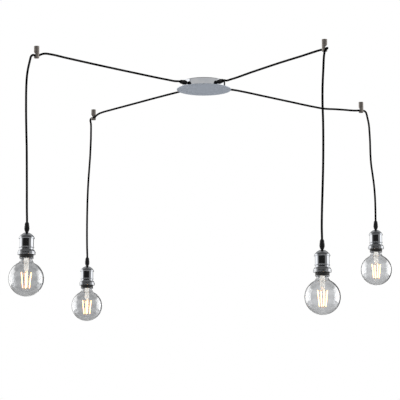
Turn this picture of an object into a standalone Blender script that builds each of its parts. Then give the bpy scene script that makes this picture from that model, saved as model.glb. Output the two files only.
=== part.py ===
# A ceiling pendant light: four lamps hang on long textile cords from one round canopy.
# Each cord leaves the canopy through a black gland, runs under the ceiling to a hook, drops over it,
# and carries a metal lampholder with a screw cap and a clear globe bulb.
# Metres, +Z up. The canopy's axis is x = y = 0 and the ceiling is z = 0.

from math import atan2, ceil, cos, degrees, pi, radians, sin, tau

import bmesh
import bpy
from mathutils import Matrix, Vector

# Clearances
GAP = 0.0003  # left between pieces that touch on the real light
OVERRUN = 0.001  # how far a cutter runs past what it cuts
MERGE = 0.000001  # points this close are one point
SHARP_ANGLE = 35.0  # degrees between faces above which an edge is drawn sharp

# Ceiling bracket: a steel bar flush with the ceiling, with a stud that the disc screws on to
BRACKET_WIDTH = 0.020
BRACKET_THICKNESS = 0.002
BRACKET_CORNER = 0.003
BRACKET_ROOM = 0.0015  # between the bar's ends and the canopy's flange
STUD_RADIUS = 0.003
STUD_LENGTH = 0.017
STUD_SIDES = 10
SCREW_SLOT_LENGTH = 0.012
SCREW_SLOT_WIDTH = 0.0045
SCREW_SLOT_INSET = 0.014  # from the bar's end to the middle of a slot
SCREW_SLOT_ROUND = 30  # degrees between the corners of a slot's round end

# Canopy body: a low drum, open below, with a flange turned in at the ceiling
CANOPY_RADIUS = 0.063
CANOPY_HEIGHT = 0.0227
CANOPY_WALL = 0.0015
CANOPY_FLANGE = 0.008
CANOPY_SIDES = 40

# Canopy disc: a round plate wider than the drum, with a boss that takes the stud
DISC_OVERHANG = 0.017  # how far the disc's rim stands out past the drum
DISC_THICKNESS = 0.002
DISC_EDGE = 0.0004
BOSS_RADIUS = 0.006
BOSS_HEIGHT = 0.0135

# Terminal block: three poles in a row, under the bracket
TERMINAL_POLE = 0.010
TERMINAL_WIDTH = 0.016
TERMINAL_HEIGHT = 0.012
TERMINAL_SHOULDER = 0.004
TERMINAL_VALLEY = 0.002
TERMINAL_POLES = 3
TERMINAL_OFFSET = 0.010  # from the stud's axis to the block's near end

# Cord gland, the same at the canopy and on the holder
GLAND_LENGTH = 0.028
GLAND_RADIUS = 0.007
GLAND_NECK_RADIUS = 0.0026
GLAND_NECK_LENGTH = 0.0024
GLAND_NUT_RADIUS = 0.005
GLAND_NUT_HEIGHT = 0.003
GLAND_BORE_DEPTH = 0.008
GLAND_SIDES = 10
GLAND_HEIGHT = 0.013  # from the ceiling down to the canopy glands' axis
GLAND_HOLE_CLEARANCE = 0.0007
# Radius and length shares from the mounting end to the cord end
GLAND_SWELL_SHARES = ((0.42, 0.01), (1.0, 0.36), (0.95, 0.58), (0.76, 0.90), (0.60, 1.0))

# Ceiling hook: a short post with a slanted slot right across it, which holds the cord in a round pocket
HOOK_RADIUS = 0.00725
HOOK_LENGTH = 0.033
HOOK_EDGE = 0.0006
HOOK_SIDES = 18
SLOT_TOP = 0.0127  # down from the ceiling to the slot's upper edge at the mouth
SLOT_SLOPE = 45.0  # degrees that its upper face runs down inwards
SLOT_LIP = 0.0250  # down from the ceiling to the lip at the mouth
POCKET_HEIGHT = 0.0260  # down from the ceiling to the pocket's axis
POCKET_CLEARANCE = 0.0006
POCKET_ARC = 120.0  # degrees that the pocket's round goes under the cord
POCKET_STEPS = 5

# Where the four lamps hang, seen from above: the hooks' reach and bearing from the canopy,
# the canopy gland that serves each, and the side that each hook's slot opens to
HOOK_REACHES = (0.6323, 0.5325, 0.6071, 0.5677)
HOOK_BEARINGS = (223.72, 130.81, 302.14, 30.72)
GLAND_BEARINGS = (220.0, 130.0, 308.0, 32.0)
SLOT_TURNS = (-90.0, 90.0, 90.0, 90.0)
# From each hook's axis to its lamp's axis: outwards along the cord, and to the left of that
LAMP_OUTS = (0.0249, 0.0255, 0.0150, 0.0492)
LAMP_SIDES = (0.0, 0.0, -0.0251, 0.0)
# From the ceiling down to the middle of each bulb
BULB_DEPTHS = (0.6400, 0.6205, 0.6980, 0.5210)

# Cord: textile covered, round
CORD_RADIUS = 0.003
CORD_ROUND_STEPS = 2
CORD_FINE_STEP = 0.002
CORD_LONGEST_STEP = 0.130
CORD_TURN = 12.0  # degrees that the tube may turn between two of its points
CORD_END_ANGLES = (75.0, 38.0)  # where the rounded end of a drop has its rings
CORD_LEAD = 0.005  # straight run out of a gland
CORD_END_RUN = 0.011  # run at each end of a tube that has a point of its own
LINK_END_RUN = 0.001  # the same for a link, whose start stays level

# Cord routes, chosen by eye from the way each cord hangs.
# arm: share of the way from gland to hook, height. The rest: outwards of the hook, aside, height.
CORD_ROUTES = (
    {
        "arm": ((0.03, -0.0146), (0.10, -0.0156), (0.30, -0.0161), (0.60, -0.0158), (0.80, -0.0149)),
        "hook": (
            (-0.045, 0, -0.0143), (-0.032, 0, -0.0152), (-0.022, 0, -0.0176), (-0.0135, 0, -0.0213),
            (-0.0075, 0, -0.0246), (-0.002, 0, -0.0258), (0.003, 0, -0.0260), (0.008, 0, -0.0260),
        ),
        "bend": (
            (0.0092, 0, -0.0260), (0.0121, 0, -0.0264), (0.0150, 0, -0.0276), (0.0175, 0, -0.0295),
            (0.0194, 0, -0.0320), (0.0206, 0, -0.0349), (0.0226, 0, -0.0420), (0.0253, 0, -0.0520),
            (0.0288, 0, -0.0660),
        ),
        "drop": (
            (0.0314, 0, -0.0800), (0.0333, 0, -0.0980), (0.0343, 0, -0.1250), (0.0342, 0, -0.1600),
            (0.0333, 0, -0.2000), (0.0318, 0, -0.2400), (0.0297, 0, -0.2850), (0.0284, 0, -0.3350),
            (0.0271, 0, -0.3950), (0.0259, 0, -0.4550),
        ),
    },
    {
        "arm": ((0.04, -0.0118), (0.10, -0.0117), (0.30, -0.0121), (0.60, -0.0137), (0.80, -0.0147)),
        "hook": (
            (-0.045, 0, -0.0156), (-0.032, 0, -0.0166), (-0.021, 0, -0.0187), (-0.0135, 0, -0.0215),
            (-0.0075, 0, -0.0245), (-0.002, 0, -0.0258), (0.003, 0, -0.0260), (0.008, 0, -0.0260),
        ),
        "bend": (
            (0.0092, 0, -0.0260), (0.0121, -0.0002, -0.0264), (0.0150, -0.0007, -0.0275),
            (0.0175, -0.0015, -0.0292), (0.0194, -0.0025, -0.0314), (0.0206, -0.0038, -0.0341),
            (0.0210, -0.0051, -0.0370), (0.0210, -0.0060, -0.0413), (0.0208, -0.0064, -0.0475),
            (0.0206, -0.0064, -0.0560), (0.0205, -0.0063, -0.0660),
        ),
        "drop": (
            (0.0206, -0.0062, -0.0900), (0.0210, -0.0055, -0.1170), (0.0215, -0.0044, -0.1480),
            (0.0221, -0.0020, -0.1850), (0.0230, 0.0004, -0.2250), (0.0240, 0.0019, -0.2700),
            (0.0248, 0.0026, -0.3300), (0.0254, 0.0022, -0.3900), (0.0256, 0.0010, -0.4400),
        ),
    },
    {
        "arm": ((0.03, -0.0161), (0.09, -0.0177), (0.30, -0.0185), (0.60, -0.0206), (0.80, -0.0233)),
        "hook": (
            (-0.045, 0, -0.0243), (-0.030, 0, -0.0247), (-0.018, 0, -0.0252), (-0.0095, 0, -0.0256),
            (-0.003, 0, -0.0259), (0.003, 0, -0.0260), (0.008, 0, -0.0260),
        ),
        "bend": (
            (0.0092, 0, -0.0260), (0.0121, -0.0003, -0.0262), (0.0150, -0.0013, -0.0269),
            (0.0175, -0.0029, -0.0280), (0.0194, -0.0049, -0.0294), (0.0206, -0.0073, -0.0311),
            (0.0210, -0.0099, -0.0330), (0.0210, -0.0128, -0.0359), (0.0210, -0.0145, -0.0396),
            (0.0209, -0.0155, -0.0445), (0.0204, -0.0166, -0.0540), (0.0199, -0.0173, -0.0660),
        ),
        "drop": (
            (0.0190, -0.0180, -0.0880), (0.0186, -0.0194, -0.1120), (0.0182, -0.0206, -0.1400),
            (0.0179, -0.0209, -0.1780), (0.0176, -0.0195, -0.2300), (0.0173, -0.0193, -0.2800),
            (0.0170, -0.0202, -0.3400), (0.0165, -0.0225, -0.4080), (0.0157, -0.0248, -0.4700),
            (0.0150, -0.0255, -0.5150),
        ),
    },
    {
        "arm": (
            (0.04, -0.0132), (0.10, -0.0147), (0.25, -0.0201), (0.45, -0.0273), (0.62, -0.0333),
            (0.71, -0.0352), (0.80, -0.0325),
        ),
        "hook": (
            (-0.060, 0, -0.0308), (-0.040, 0, -0.0301), (-0.024, 0, -0.0291), (-0.014, 0, -0.0280),
            (-0.0075, 0, -0.0268), (-0.002, 0, -0.0262), (0.003, 0, -0.0260), (0.008, 0, -0.0260),
        ),
        "bend": (
            (0.0092, 0, -0.0260), (0.0121, 0, -0.0264), (0.0150, 0, -0.0276), (0.0175, 0, -0.0295),
            (0.0194, 0, -0.0320), (0.0206, 0, -0.0349), (0.0230, 0, -0.0432), (0.0257, 0, -0.0535),
            (0.0286, 0, -0.0660),
        ),
        "drop": (
            (0.0309, 0, -0.0900), (0.0325, 0, -0.1200), (0.0333, 0, -0.1600), (0.0354, 0, -0.1920),
            (0.0400, 0, -0.2220), (0.0449, 0, -0.2550), (0.0480, 0, -0.2900), (0.0492, 0, -0.3300),
        ),
    },
)

# Lampholder: a domed cap screwed on a sleeve, whose lower end carries a ring
HOLDER_HEIGHT = 0.070
HOLDER_WALL = 0.0016
HOLDER_SIDES = 18
HOLDER_EDGE = 0.0004
HOLDER_CAP_HEIGHT = 0.016
HOLDER_CAP_OVERHANG = 0.0025  # how far the cap stands out past the sleeve
HOLDER_CAP_TOP_RADIUS = 0.0065
HOLDER_CAP_RIM = 0.0045
# Shares out from the flat top to the rim and down to it
CAP_DOME_SHARES = ((0.14, 0.05), (0.79, 0.76), (0.96, 0.93))
CAP_INSIDE_SHARES = ((0.22, 0.07),)
CAP_SHOULDER = 0.0005  # how far the cap's inner shoulder is set out from the sleeve's bore
BEAD_BELOW_CAP = 0.022
BEAD_HEIGHT = 0.003
BEAD_PROUD = 0.0013
BEAD_FLAT_SHARE = 0.5
GROOVE_HEIGHT = 0.005
GROOVE_DEPTH = 0.0007
RING_THICKNESS = 0.005
RING_HEIGHT = 0.013
RING_TOP_WIDTH = 0.0012
RING_SHOULDER = 0.0045
RING_EDGE = 0.0008
SEAT_WIDTH = 0.0012
SKIRT_BELOW_RIM = 0.010  # how far the holder's lower end hangs below the rim of the bulb's cap

# Socket insert: the moulded body inside the sleeve, which the bulb screws into
INSERT_BORE_CLEARANCE = 0.0007
INSERT_WALL = 0.0032
INSERT_MOUTH = 0.0018  # how far the insert's mouth reaches past the bulb cap's rim
INSERT_CROWN = 0.009
INSERT_BOSS_RADIUS = 0.010
INSERT_BOSS_HEIGHT = 0.004

# Bulb: a clear globe on a screw cap, 27 mm across its thread
BULB_RADIUS = 0.0475
GLASS_WALL = 0.001
BULB_SIDES = 20
BULB_RINGS = 8
BULB_INNER_RINGS = 6
NECK_ANGLE = 28.0  # degrees from the bulb's top where the sphere runs into the neck
NECK_RADIUS = 0.0134
NECK_LENGTH = 0.016  # from the top of the sphere up to the rim of the cap
NECK_SPIGOT_LENGTH = 0.0085
# Shares in from the sphere to the neck and up to its end
NECK_SHARES = ((0.44, 0.21), (0.73, 0.46), (0.92, 0.80))
CAP_LENGTH = 0.0215
CAP_WALL = 0.0009
CAP_RIM_RADIUS = 0.0132
CAP_RIM_LENGTH = 0.0018
CAP_TOP_RADIUS = 0.0086
CAP_TAPER = 0.0022
CAP_HOLE_RADIUS = 0.0065
THREAD_RADIUS = 0.0132
THREAD_DEPTH = 0.0011
THREAD_PITCH = 0.00363
THREAD_SIDES = 12
CONTACT_RADIUS = 0.0044
CONTACT_HEIGHT = 0.0047
CONTACT_BUTTON = 0.0017
CONTACT_ROUND = 0.0008
CONTACT_PLUG = 0.0025
CONTACT_TOP_SHARE = 0.7

# Bulb stem: a glass flare that carries four LED filaments on wires
STEM_TOP = 0.070
STEM_FLARE_HEIGHT = 0.012
STEM_FLARE_RIM = 0.004
STEM_RADIUS = 0.0063
STEM_TIP_RADIUS = 0.0035
STEM_BOTTOM = 0.018
STEM_RECESS = 0.010
STEM_RECESS_RADIUS = 0.0045
STEM_SIDES = 10
FILAMENT_COUNT = 4
FILAMENT_RADIUS = 0.0011
FILAMENT_TOP = 0.015
FILAMENT_BOTTOM = -0.023
FILAMENT_TOP_REACH = 0.0135
FILAMENT_BOTTOM_REACH = 0.0085
FILAMENT_SIDES = 5
WIRE_RADIUS = 0.0005
WIRE_SIDES = 4
WIRE_ROOT_REACH = 0.002

# Places that follow from the sizes
CAP_RIM_HEIGHT = BULB_RADIUS + NECK_LENGTH  # above the bulb's middle
HOLDER_TOP_HEIGHT = CAP_RIM_HEIGHT - SKIRT_BELOW_RIM + HOLDER_HEIGHT  # above the bulb's middle
INSERT_RADIUS = THREAD_RADIUS + INSERT_BORE_CLEARANCE + INSERT_WALL
HOLDER_RADIUS = INSERT_RADIUS + GAP + HOLDER_WALL
HOLDER_CAP_RADIUS = HOLDER_RADIUS + HOLDER_CAP_OVERHANG
RING_RADIUS = HOLDER_RADIUS + RING_THICKNESS
GLAND_HOLE_RADIUS = GLAND_NECK_RADIUS + GLAND_HOLE_CLEARANCE
DISC_RADIUS = CANOPY_RADIUS + DISC_OVERHANG
BRACKET_LENGTH = 2 * (CANOPY_RADIUS - CANOPY_WALL - CANOPY_FLANGE - BRACKET_ROOM)
SCREW_SLOT_REACH = BRACKET_LENGTH / 2 - SCREW_SLOT_INSET
BRACKET_BOTTOM = -BRACKET_THICKNESS
DISC_TOP = -CANOPY_HEIGHT - GAP

# Colour, roughness, metallic and transmission
FINISHES = {
    "polished_metal": ((0.62, 0.63, 0.65), 0.08, 1.0, 0.0),
    "satin_grey": ((0.29, 0.32, 0.36), 0.45, 0.6, 0.0),
    "zinc_steel": ((0.55, 0.56, 0.57), 0.40, 1.0, 0.0),
    "satin_nickel": ((0.34, 0.31, 0.28), 0.35, 1.0, 0.0),
    "black_plastic": ((0.012, 0.012, 0.013), 0.45, 0.0, 0.0),
    "black_textile": ((0.010, 0.010, 0.011), 0.90, 0.0, 0.0),
    "white_plastic": ((0.75, 0.74, 0.70), 0.50, 0.0, 0.0),
    "dark_insert": ((0.03, 0.03, 0.03), 0.40, 0.0, 0.0),
    "nickel_cap": ((0.60, 0.58, 0.54), 0.25, 1.0, 0.0),
    "contact_metal": ((0.45, 0.42, 0.38), 0.35, 1.0, 0.0),
    "clear_glass": ((0.95, 0.96, 0.97), 0.02, 0.0, 1.0),
    "led_filament": ((1.00, 0.66, 0.28), 0.50, 0.0, 0.0),
}


def clear_scene():
    for thing in list(bpy.data.objects):
        bpy.data.objects.remove(thing, do_unlink=True)


def make_finishes():
    made = {}
    for name, (colour, roughness, metallic, transmission) in FINISHES.items():
        finish = bpy.data.materials.new(name)
        finish.use_nodes = True
        shader = finish.node_tree.nodes["Principled BSDF"]
        shader.inputs["Base Color"].default_value = (*colour, 1.0)
        shader.inputs["Roughness"].default_value = roughness
        shader.inputs["Metallic"].default_value = metallic
        shader.inputs["Transmission Weight"].default_value = transmission
        made[name] = finish
    return made


# Meshes


def mesh_of(bm, name):
    bmesh.ops.remove_doubles(bm, verts=bm.verts, dist=MERGE)
    bmesh.ops.recalc_face_normals(bm, faces=bm.faces)
    mesh = bpy.data.meshes.new(name)
    bm.to_mesh(mesh)
    bm.free()
    mesh.shade_smooth()
    mesh.set_sharp_from_angle(angle=radians(SHARP_ANGLE))
    return mesh


def turned(name, outline, sides, closed=False):
    # Spins an outline of (radius, height) points round the Z axis. An open one starts and ends on the axis.
    bm = bmesh.new()
    points = [bm.verts.new((radius, 0, height)) for radius, height in outline]
    edges = [bm.edges.new(pair) for pair in zip(points, points[1:])]
    if closed:
        edges.append(bm.edges.new((points[-1], points[0])))
    bmesh.ops.spin(
        bm, geom=points + edges, axis=(0, 0, 1), cent=(0, 0, 0), angle=tau, steps=sides, use_merge=True
    )
    return mesh_of(bm, name)


def prism(name, outline, bottom, top, turn=None):
    # Extrudes an (x, y) outline from bottom to top along Z, then turns it by a matrix.
    bm = bmesh.new()
    face = bm.faces.new([bm.verts.new((x, y, bottom)) for x, y in outline])
    grown = bmesh.ops.extrude_face_region(bm, geom=[face])["geom"]
    moved = [item for item in grown if isinstance(item, bmesh.types.BMVert)]
    bmesh.ops.translate(bm, verts=moved, vec=(0, 0, top - bottom))
    if turn is not None:
        bmesh.ops.transform(bm, verts=bm.verts, matrix=turn)
    return mesh_of(bm, name)


def rod(name, start, end, radius, sides):
    bm = bmesh.new()
    run = end - start
    place = Matrix.Translation((start + end) / 2) @ run.to_track_quat("Z", "Y").to_matrix().to_4x4()
    bmesh.ops.create_cone(
        bm, cap_ends=True, segments=sides, radius1=radius, radius2=radius, depth=run.length, matrix=place
    )
    return mesh_of(bm, name)


def hoop(name, reach, height, radius, sides, rounds):
    # A closed wire ring: a small circle spun round the Z axis.
    circle = [
        (reach + radius * cos(tau * step / sides), height + radius * sin(tau * step / sides))
        for step in range(sides)
    ]
    return turned(name, circle, rounds, closed=True)


def combined(name, base, others, operation):
    # One mesh from a base mesh and others that are joined to it or cut from it.
    body = bpy.data.objects.new(name, base)
    bpy.context.collection.objects.link(body)
    tools = []
    for other in others:
        tool = bpy.data.objects.new(f"{name}_tool", other)
        bpy.context.collection.objects.link(tool)
        tools.append(tool)
        step = body.modifiers.new(operation.lower(), "BOOLEAN")
        step.operation = operation
        step.object = tool
    bpy.context.view_layer.update()
    graph = bpy.context.evaluated_depsgraph_get()
    mesh = bpy.data.meshes.new_from_object(body.evaluated_get(graph))
    mesh.name = name
    for thing in (body, *tools):
        bpy.data.objects.remove(thing, do_unlink=True)
    return mesh


# Placing


def add_empty(name, location, parent=None):
    empty = bpy.data.objects.new(name, None)
    empty.location = location
    empty.parent = parent
    empty.empty_display_size = GLAND_LENGTH
    bpy.context.collection.objects.link(empty)
    return empty


def add_piece(name, mesh, finish, parent=None, location=(0, 0, 0), rotation=(0, 0, 0)):
    piece = bpy.data.objects.new(name, mesh)
    piece.parent = parent
    piece.location = location
    piece.rotation_euler = rotation
    bpy.context.collection.objects.link(piece)
    piece.data.materials.clear()
    piece.data.materials.append(finish)
    return piece


def flats(radius, sides):
    # Radius of the flats of a turned bore, whose corners lie at the radius given
    return radius * cos(pi / sides)


def plan(reach, bearing):
    return Vector((reach * cos(radians(bearing)), reach * sin(radians(bearing)), 0))


# Canopy


def bracket_mesh():
    half, side = BRACKET_LENGTH / 2, BRACKET_WIDTH / 2
    cut = BRACKET_CORNER
    corners = ((half, side - cut), (half - cut, side), (cut - half, side), (-half, side - cut))
    bar = prism("bracket_bar", (*corners, *[(-x, -y) for x, y in corners]), BRACKET_BOTTOM, 0)
    stud_end = BRACKET_BOTTOM - STUD_LENGTH
    stud_top = -BRACKET_THICKNESS / 2
    stud_outline = ((0, stud_top), (STUD_RADIUS, stud_top), (STUD_RADIUS, stud_end), (0, stud_end))
    stud = turned("bracket_stud", stud_outline, STUD_SIDES)
    solid = combined("bracket_solid", bar, [stud], "UNION")
    slots = [slot_cutter(side) for side in (-SCREW_SLOT_REACH, SCREW_SLOT_REACH)]
    return combined("ceiling_bracket", solid, slots, "DIFFERENCE")


def slot_cutter(centre):
    # A slot with round ends, long across the stud's direction.
    radius = SCREW_SLOT_WIDTH / 2
    run = SCREW_SLOT_LENGTH / 2 - radius
    arc = [radians(angle) for angle in range(-90, 91, SCREW_SLOT_ROUND)]
    right = [(centre + run + radius * cos(turn), radius * sin(turn)) for turn in arc]
    left = [(centre - run - radius * cos(turn), -radius * sin(turn)) for turn in arc]
    return prism("screw_slot", right + left, BRACKET_BOTTOM - OVERRUN, OVERRUN)


def canopy_body_mesh():
    inside = CANOPY_RADIUS - CANOPY_WALL
    outline = (
        (CANOPY_RADIUS, 0),
        (CANOPY_RADIUS, -CANOPY_HEIGHT),
        (inside, -CANOPY_HEIGHT),
        (inside, -CANOPY_WALL),
        (inside - CANOPY_FLANGE, -CANOPY_WALL),
        (inside - CANOPY_FLANGE, 0),
    )
    drum = turned("canopy_drum", outline, CANOPY_SIDES, closed=True)
    drop = Vector((0, 0, -GLAND_HEIGHT))
    holes = []
    for bearing in GLAND_BEARINGS:
        start = plan(inside - OVERRUN, bearing) + drop
        end = plan(CANOPY_RADIUS + OVERRUN, bearing) + drop
        holes.append(rod("gland_hole", start, end, GLAND_HOLE_RADIUS, GLAND_SIDES))
    return combined("canopy_body", drum, holes, "DIFFERENCE")


def canopy_disc_mesh():
    bottom = DISC_TOP - DISC_THICKNESS
    boss_top = DISC_TOP + BOSS_HEIGHT
    hole_radius = STUD_RADIUS + GAP
    hole_end = BRACKET_BOTTOM - STUD_LENGTH - GAP
    outline = (
        (0, hole_end),
        (hole_radius, hole_end),
        (hole_radius, boss_top),
        (BOSS_RADIUS, boss_top),
        (BOSS_RADIUS, DISC_TOP),
        (DISC_RADIUS - DISC_EDGE, DISC_TOP),
        (DISC_RADIUS, DISC_TOP - DISC_EDGE),
        (DISC_RADIUS, bottom + DISC_EDGE),
        (DISC_RADIUS - DISC_EDGE, bottom),
        (0, bottom),
    )
    return turned("canopy_disc", outline, CANOPY_SIDES)


def terminal_mesh():
    # Seen from the side: a flat base against the bracket, and one raised pole after another below it.
    top = BRACKET_BOTTOM - GAP
    shoulder = top - TERMINAL_HEIGHT + TERMINAL_SHOULDER
    bottom = top - TERMINAL_HEIGHT
    outline = [(TERMINAL_OFFSET + TERMINAL_POLES * TERMINAL_POLE, top), (TERMINAL_OFFSET, top)]
    for pole in range(TERMINAL_POLES):
        near = TERMINAL_OFFSET + pole * TERMINAL_POLE
        far = near + TERMINAL_POLE
        outline += [(near, shoulder), (near + TERMINAL_VALLEY, shoulder), (near + TERMINAL_VALLEY, bottom)]
        outline += [(far - TERMINAL_VALLEY, bottom), (far - TERMINAL_VALLEY, shoulder)]
    outline.append((TERMINAL_OFFSET + TERMINAL_POLES * TERMINAL_POLE, shoulder))
    upright = Matrix.Rotation(radians(90), 4, "X")
    return prism("terminal_block", outline, -TERMINAL_WIDTH / 2, TERMINAL_WIDTH / 2, upright)


def gland_mesh():
    # Along +Z from the face that it is mounted on, with its neck and nut below that face.
    bore = CORD_RADIUS + GAP
    nut_top = GAP - GLAND_NECK_LENGTH
    nut_bottom = nut_top - GLAND_NUT_HEIGHT
    outline = [
        (0, nut_bottom),
        (GLAND_NUT_RADIUS, nut_bottom),
        (GLAND_NUT_RADIUS, nut_top),
        (GLAND_NECK_RADIUS, nut_top),
        (GLAND_NECK_RADIUS, GAP),
    ]
    outline += [(GLAND_RADIUS * wide, GAP + (GLAND_LENGTH - GAP) * far) for wide, far in GLAND_SWELL_SHARES]
    bore_end = GLAND_LENGTH - GLAND_BORE_DEPTH
    outline += [(bore, GLAND_LENGTH), (bore, bore_end), (0, bore_end)]
    return turned("cord_gland", outline, GLAND_SIDES)


# Hook


def hook_mesh():
    outline = (
        (0, 0),
        (HOOK_RADIUS, 0),
        (HOOK_RADIUS, HOOK_EDGE - HOOK_LENGTH),
        (HOOK_RADIUS - HOOK_EDGE, -HOOK_LENGTH),
        (0, -HOOK_LENGTH),
    )
    post = turned("hook_post", outline, HOOK_SIDES)
    return combined("ceiling_hook", post, [hook_slot_cutter()], "DIFFERENCE")


def hook_slot_cutter():
    # The slot's section in x and height, with its mouth at +X, run right across the post along Y.
    pocket = CORD_RADIUS + POCKET_CLEARANCE
    mouth = HOOK_RADIUS + OVERRUN
    rise = sin(radians(SLOT_SLOPE)) / cos(radians(SLOT_SLOPE))
    tangent = radians(90 + SLOT_SLOPE)
    touch = (pocket * cos(tangent), pocket * sin(tangent) - POCKET_HEIGHT)
    upper_mouth = OVERRUN * rise - SLOT_TOP
    upper_inner = -SLOT_TOP - rise * (HOOK_RADIUS - touch[0])
    outline = [(mouth, upper_mouth), (touch[0], max(upper_inner, touch[1]))]
    for step in range(POCKET_STEPS + 1):
        turn = radians(180 + POCKET_ARC * step / POCKET_STEPS)
        outline.append((pocket * cos(turn), pocket * sin(turn) - POCKET_HEIGHT))
    outline.append((mouth, -SLOT_LIP))
    upright = Matrix.Rotation(radians(90), 4, "X")
    reach = HOOK_RADIUS + OVERRUN
    return prism("hook_slot", outline, -reach, reach, upright)


# Cords


def smooth_curve(points):
    # Cubics through the points, each leaning along its neighbours. Returns the fine points,
    # and the index among them of each point given.
    leans = []
    for before, here, after in zip([None, *points], points, [*points[1:], None]):
        if before is None or after is None:
            leans.append(((after or here) - (before or here)).normalized())
            continue
        back, ahead = here - before, after - here
        lean = back.normalized() * ahead.length + ahead.normalized() * back.length
        leans.append(lean / (back.length + ahead.length))
    fine, marks = [points[0]], [0]
    for start, end, lean_in, lean_out in zip(points, points[1:], leans, leans[1:]):
        run = (end - start).length
        steps = ceil(run / CORD_FINE_STEP)
        for step in range(1, steps + 1):
            t = step / steps
            weight = t * t * (3 - 2 * t)
            lean = lean_in * (t * (1 - t) ** 2) - lean_out * (t * t * (1 - t))
            fine.append(start * (1 - weight) + end * weight + lean * run)
        marks.append(len(fine) - 1)
    return fine, marks


def shortened(points, by):
    # Takes a length off the far end of a run of points.
    points = list(points)
    while (points[-1] - points[-2]).length <= by:
        by -= (points[-1] - points[-2]).length
        points.pop()
    points[-1] = points[-1].lerp(points[-2], by / (points[-1] - points[-2]).length)
    return points


def thinned(points, end_run):
    # Keeps both ends, a point a short run in from each, and those where the cord has turned or run on enough.
    kept = [points[0]]
    heading = (points[1] - points[0]).normalized()
    for before, here, after in zip(points, points[1:], points[2:]):
        way = (after - here).normalized()
        turned_on = way.angle(heading) > radians(CORD_TURN) or (after - kept[-1]).length > CORD_LONGEST_STEP
        from_start = (before - points[0]).length < end_run <= (here - points[0]).length
        from_end = (here - points[-1]).length < end_run <= (before - points[-1]).length
        if turned_on or from_start or from_end:
            kept.append(here)
            heading = way
    return [*kept, points[-1]]


def run_length(points):
    return sum((after - here).length for here, after in zip(points, points[1:]))


def add_cord(name, points, finish, parent, rounded=False, end_run=CORD_END_RUN):
    # A tube along the points. A rounded start is a half ball round the first point.
    kept = thinned(points, end_run)
    rings = [(point, 1.0) for point in kept]
    if rounded:
        way = (kept[1] - kept[0]).normalized()
        rings = [
            (kept[0] - way * CORD_RADIUS * sin(radians(angle)), cos(radians(angle)))
            for angle in CORD_END_ANGLES
        ] + rings
    curve = bpy.data.curves.new(name, "CURVE")
    curve.dimensions = "3D"
    curve.bevel_depth = CORD_RADIUS
    curve.bevel_resolution = CORD_ROUND_STEPS
    curve.use_fill_caps = True
    spline = curve.splines.new("POLY")
    spline.points.add(len(rings) - 1)
    for point, (place, width) in zip(spline.points, rings):
        point.co = (*(place - parent.matrix_world.translation), 1)
        point.radius = width
    add_piece(name, curve, finish, parent)
    return len(rings)


def cord_points(lamp, gland_end, gland_way, hook, out, lamp_top):
    # The whole centre line from the canopy gland to the holder's gland.
    aside = Vector((-out.y, out.x, 0))
    route = CORD_ROUTES[lamp]
    level = Vector((0, 0, 1))
    seated = GLAND_BORE_DEPTH - GAP
    points = [gland_end - gland_way * seated, gland_end, gland_end + gland_way * CORD_LEAD]
    flat_end = Vector((gland_end.x, gland_end.y, 0))
    points += [flat_end.lerp(hook, share) + level * height for share, height in route["arm"]]
    starts = []
    for part in ("hook", "bend", "drop"):
        points += [hook + out * ahead + aside * left + level * height for ahead, left, height in route[part]]
        starts.append(len(points) - 1)
    points += [lamp_top + level * CORD_LEAD, lamp_top, lamp_top - level * seated]
    return points, starts[0], starts[1]


# Lampholder, with z = 0 at its top


def cap_shoulder():
    return HOLDER_CAP_RIM - HOLDER_CAP_HEIGHT - GAP


def holder_cap_mesh():
    rim_top = HOLDER_CAP_RIM - HOLDER_CAP_HEIGHT
    wide = HOLDER_CAP_RADIUS - HOLDER_CAP_TOP_RADIUS
    bore = HOLDER_RADIUS - HOLDER_WALL + CAP_SHOULDER
    room = GLAND_NUT_RADIUS + 2 * GAP
    deep = cap_shoulder() + HOLDER_WALL
    outline = [(GLAND_HOLE_RADIUS, 0), (HOLDER_CAP_TOP_RADIUS, 0)]
    outline += [(HOLDER_CAP_TOP_RADIUS + wide * out, rim_top * down) for out, down in CAP_DOME_SHARES]
    outline += [
        (HOLDER_CAP_RADIUS, rim_top),
        (HOLDER_CAP_RADIUS, HOLDER_EDGE - HOLDER_CAP_HEIGHT),
        (HOLDER_CAP_RADIUS - HOLDER_EDGE, -HOLDER_CAP_HEIGHT),
        (HOLDER_RADIUS + GAP, -HOLDER_CAP_HEIGHT),
        (HOLDER_RADIUS + GAP, cap_shoulder()),
        (bore, cap_shoulder()),
    ]
    inside = [(room + (bore - room) * out, deep * down - HOLDER_WALL) for out, down in CAP_INSIDE_SHARES]
    outline += reversed(inside)
    outline += [(room, -HOLDER_WALL), (GLAND_HOLE_RADIUS, -HOLDER_WALL)]
    return turned("holder_cap", outline, HOLDER_SIDES, closed=True)


def bead_top():
    return -HOLDER_CAP_HEIGHT - BEAD_BELOW_CAP


def groove_bottom():
    return bead_top() - BEAD_HEIGHT - GROOVE_HEIGHT


def insert_bottom():
    return CAP_RIM_HEIGHT - INSERT_MOUTH - HOLDER_TOP_HEIGHT


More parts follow.
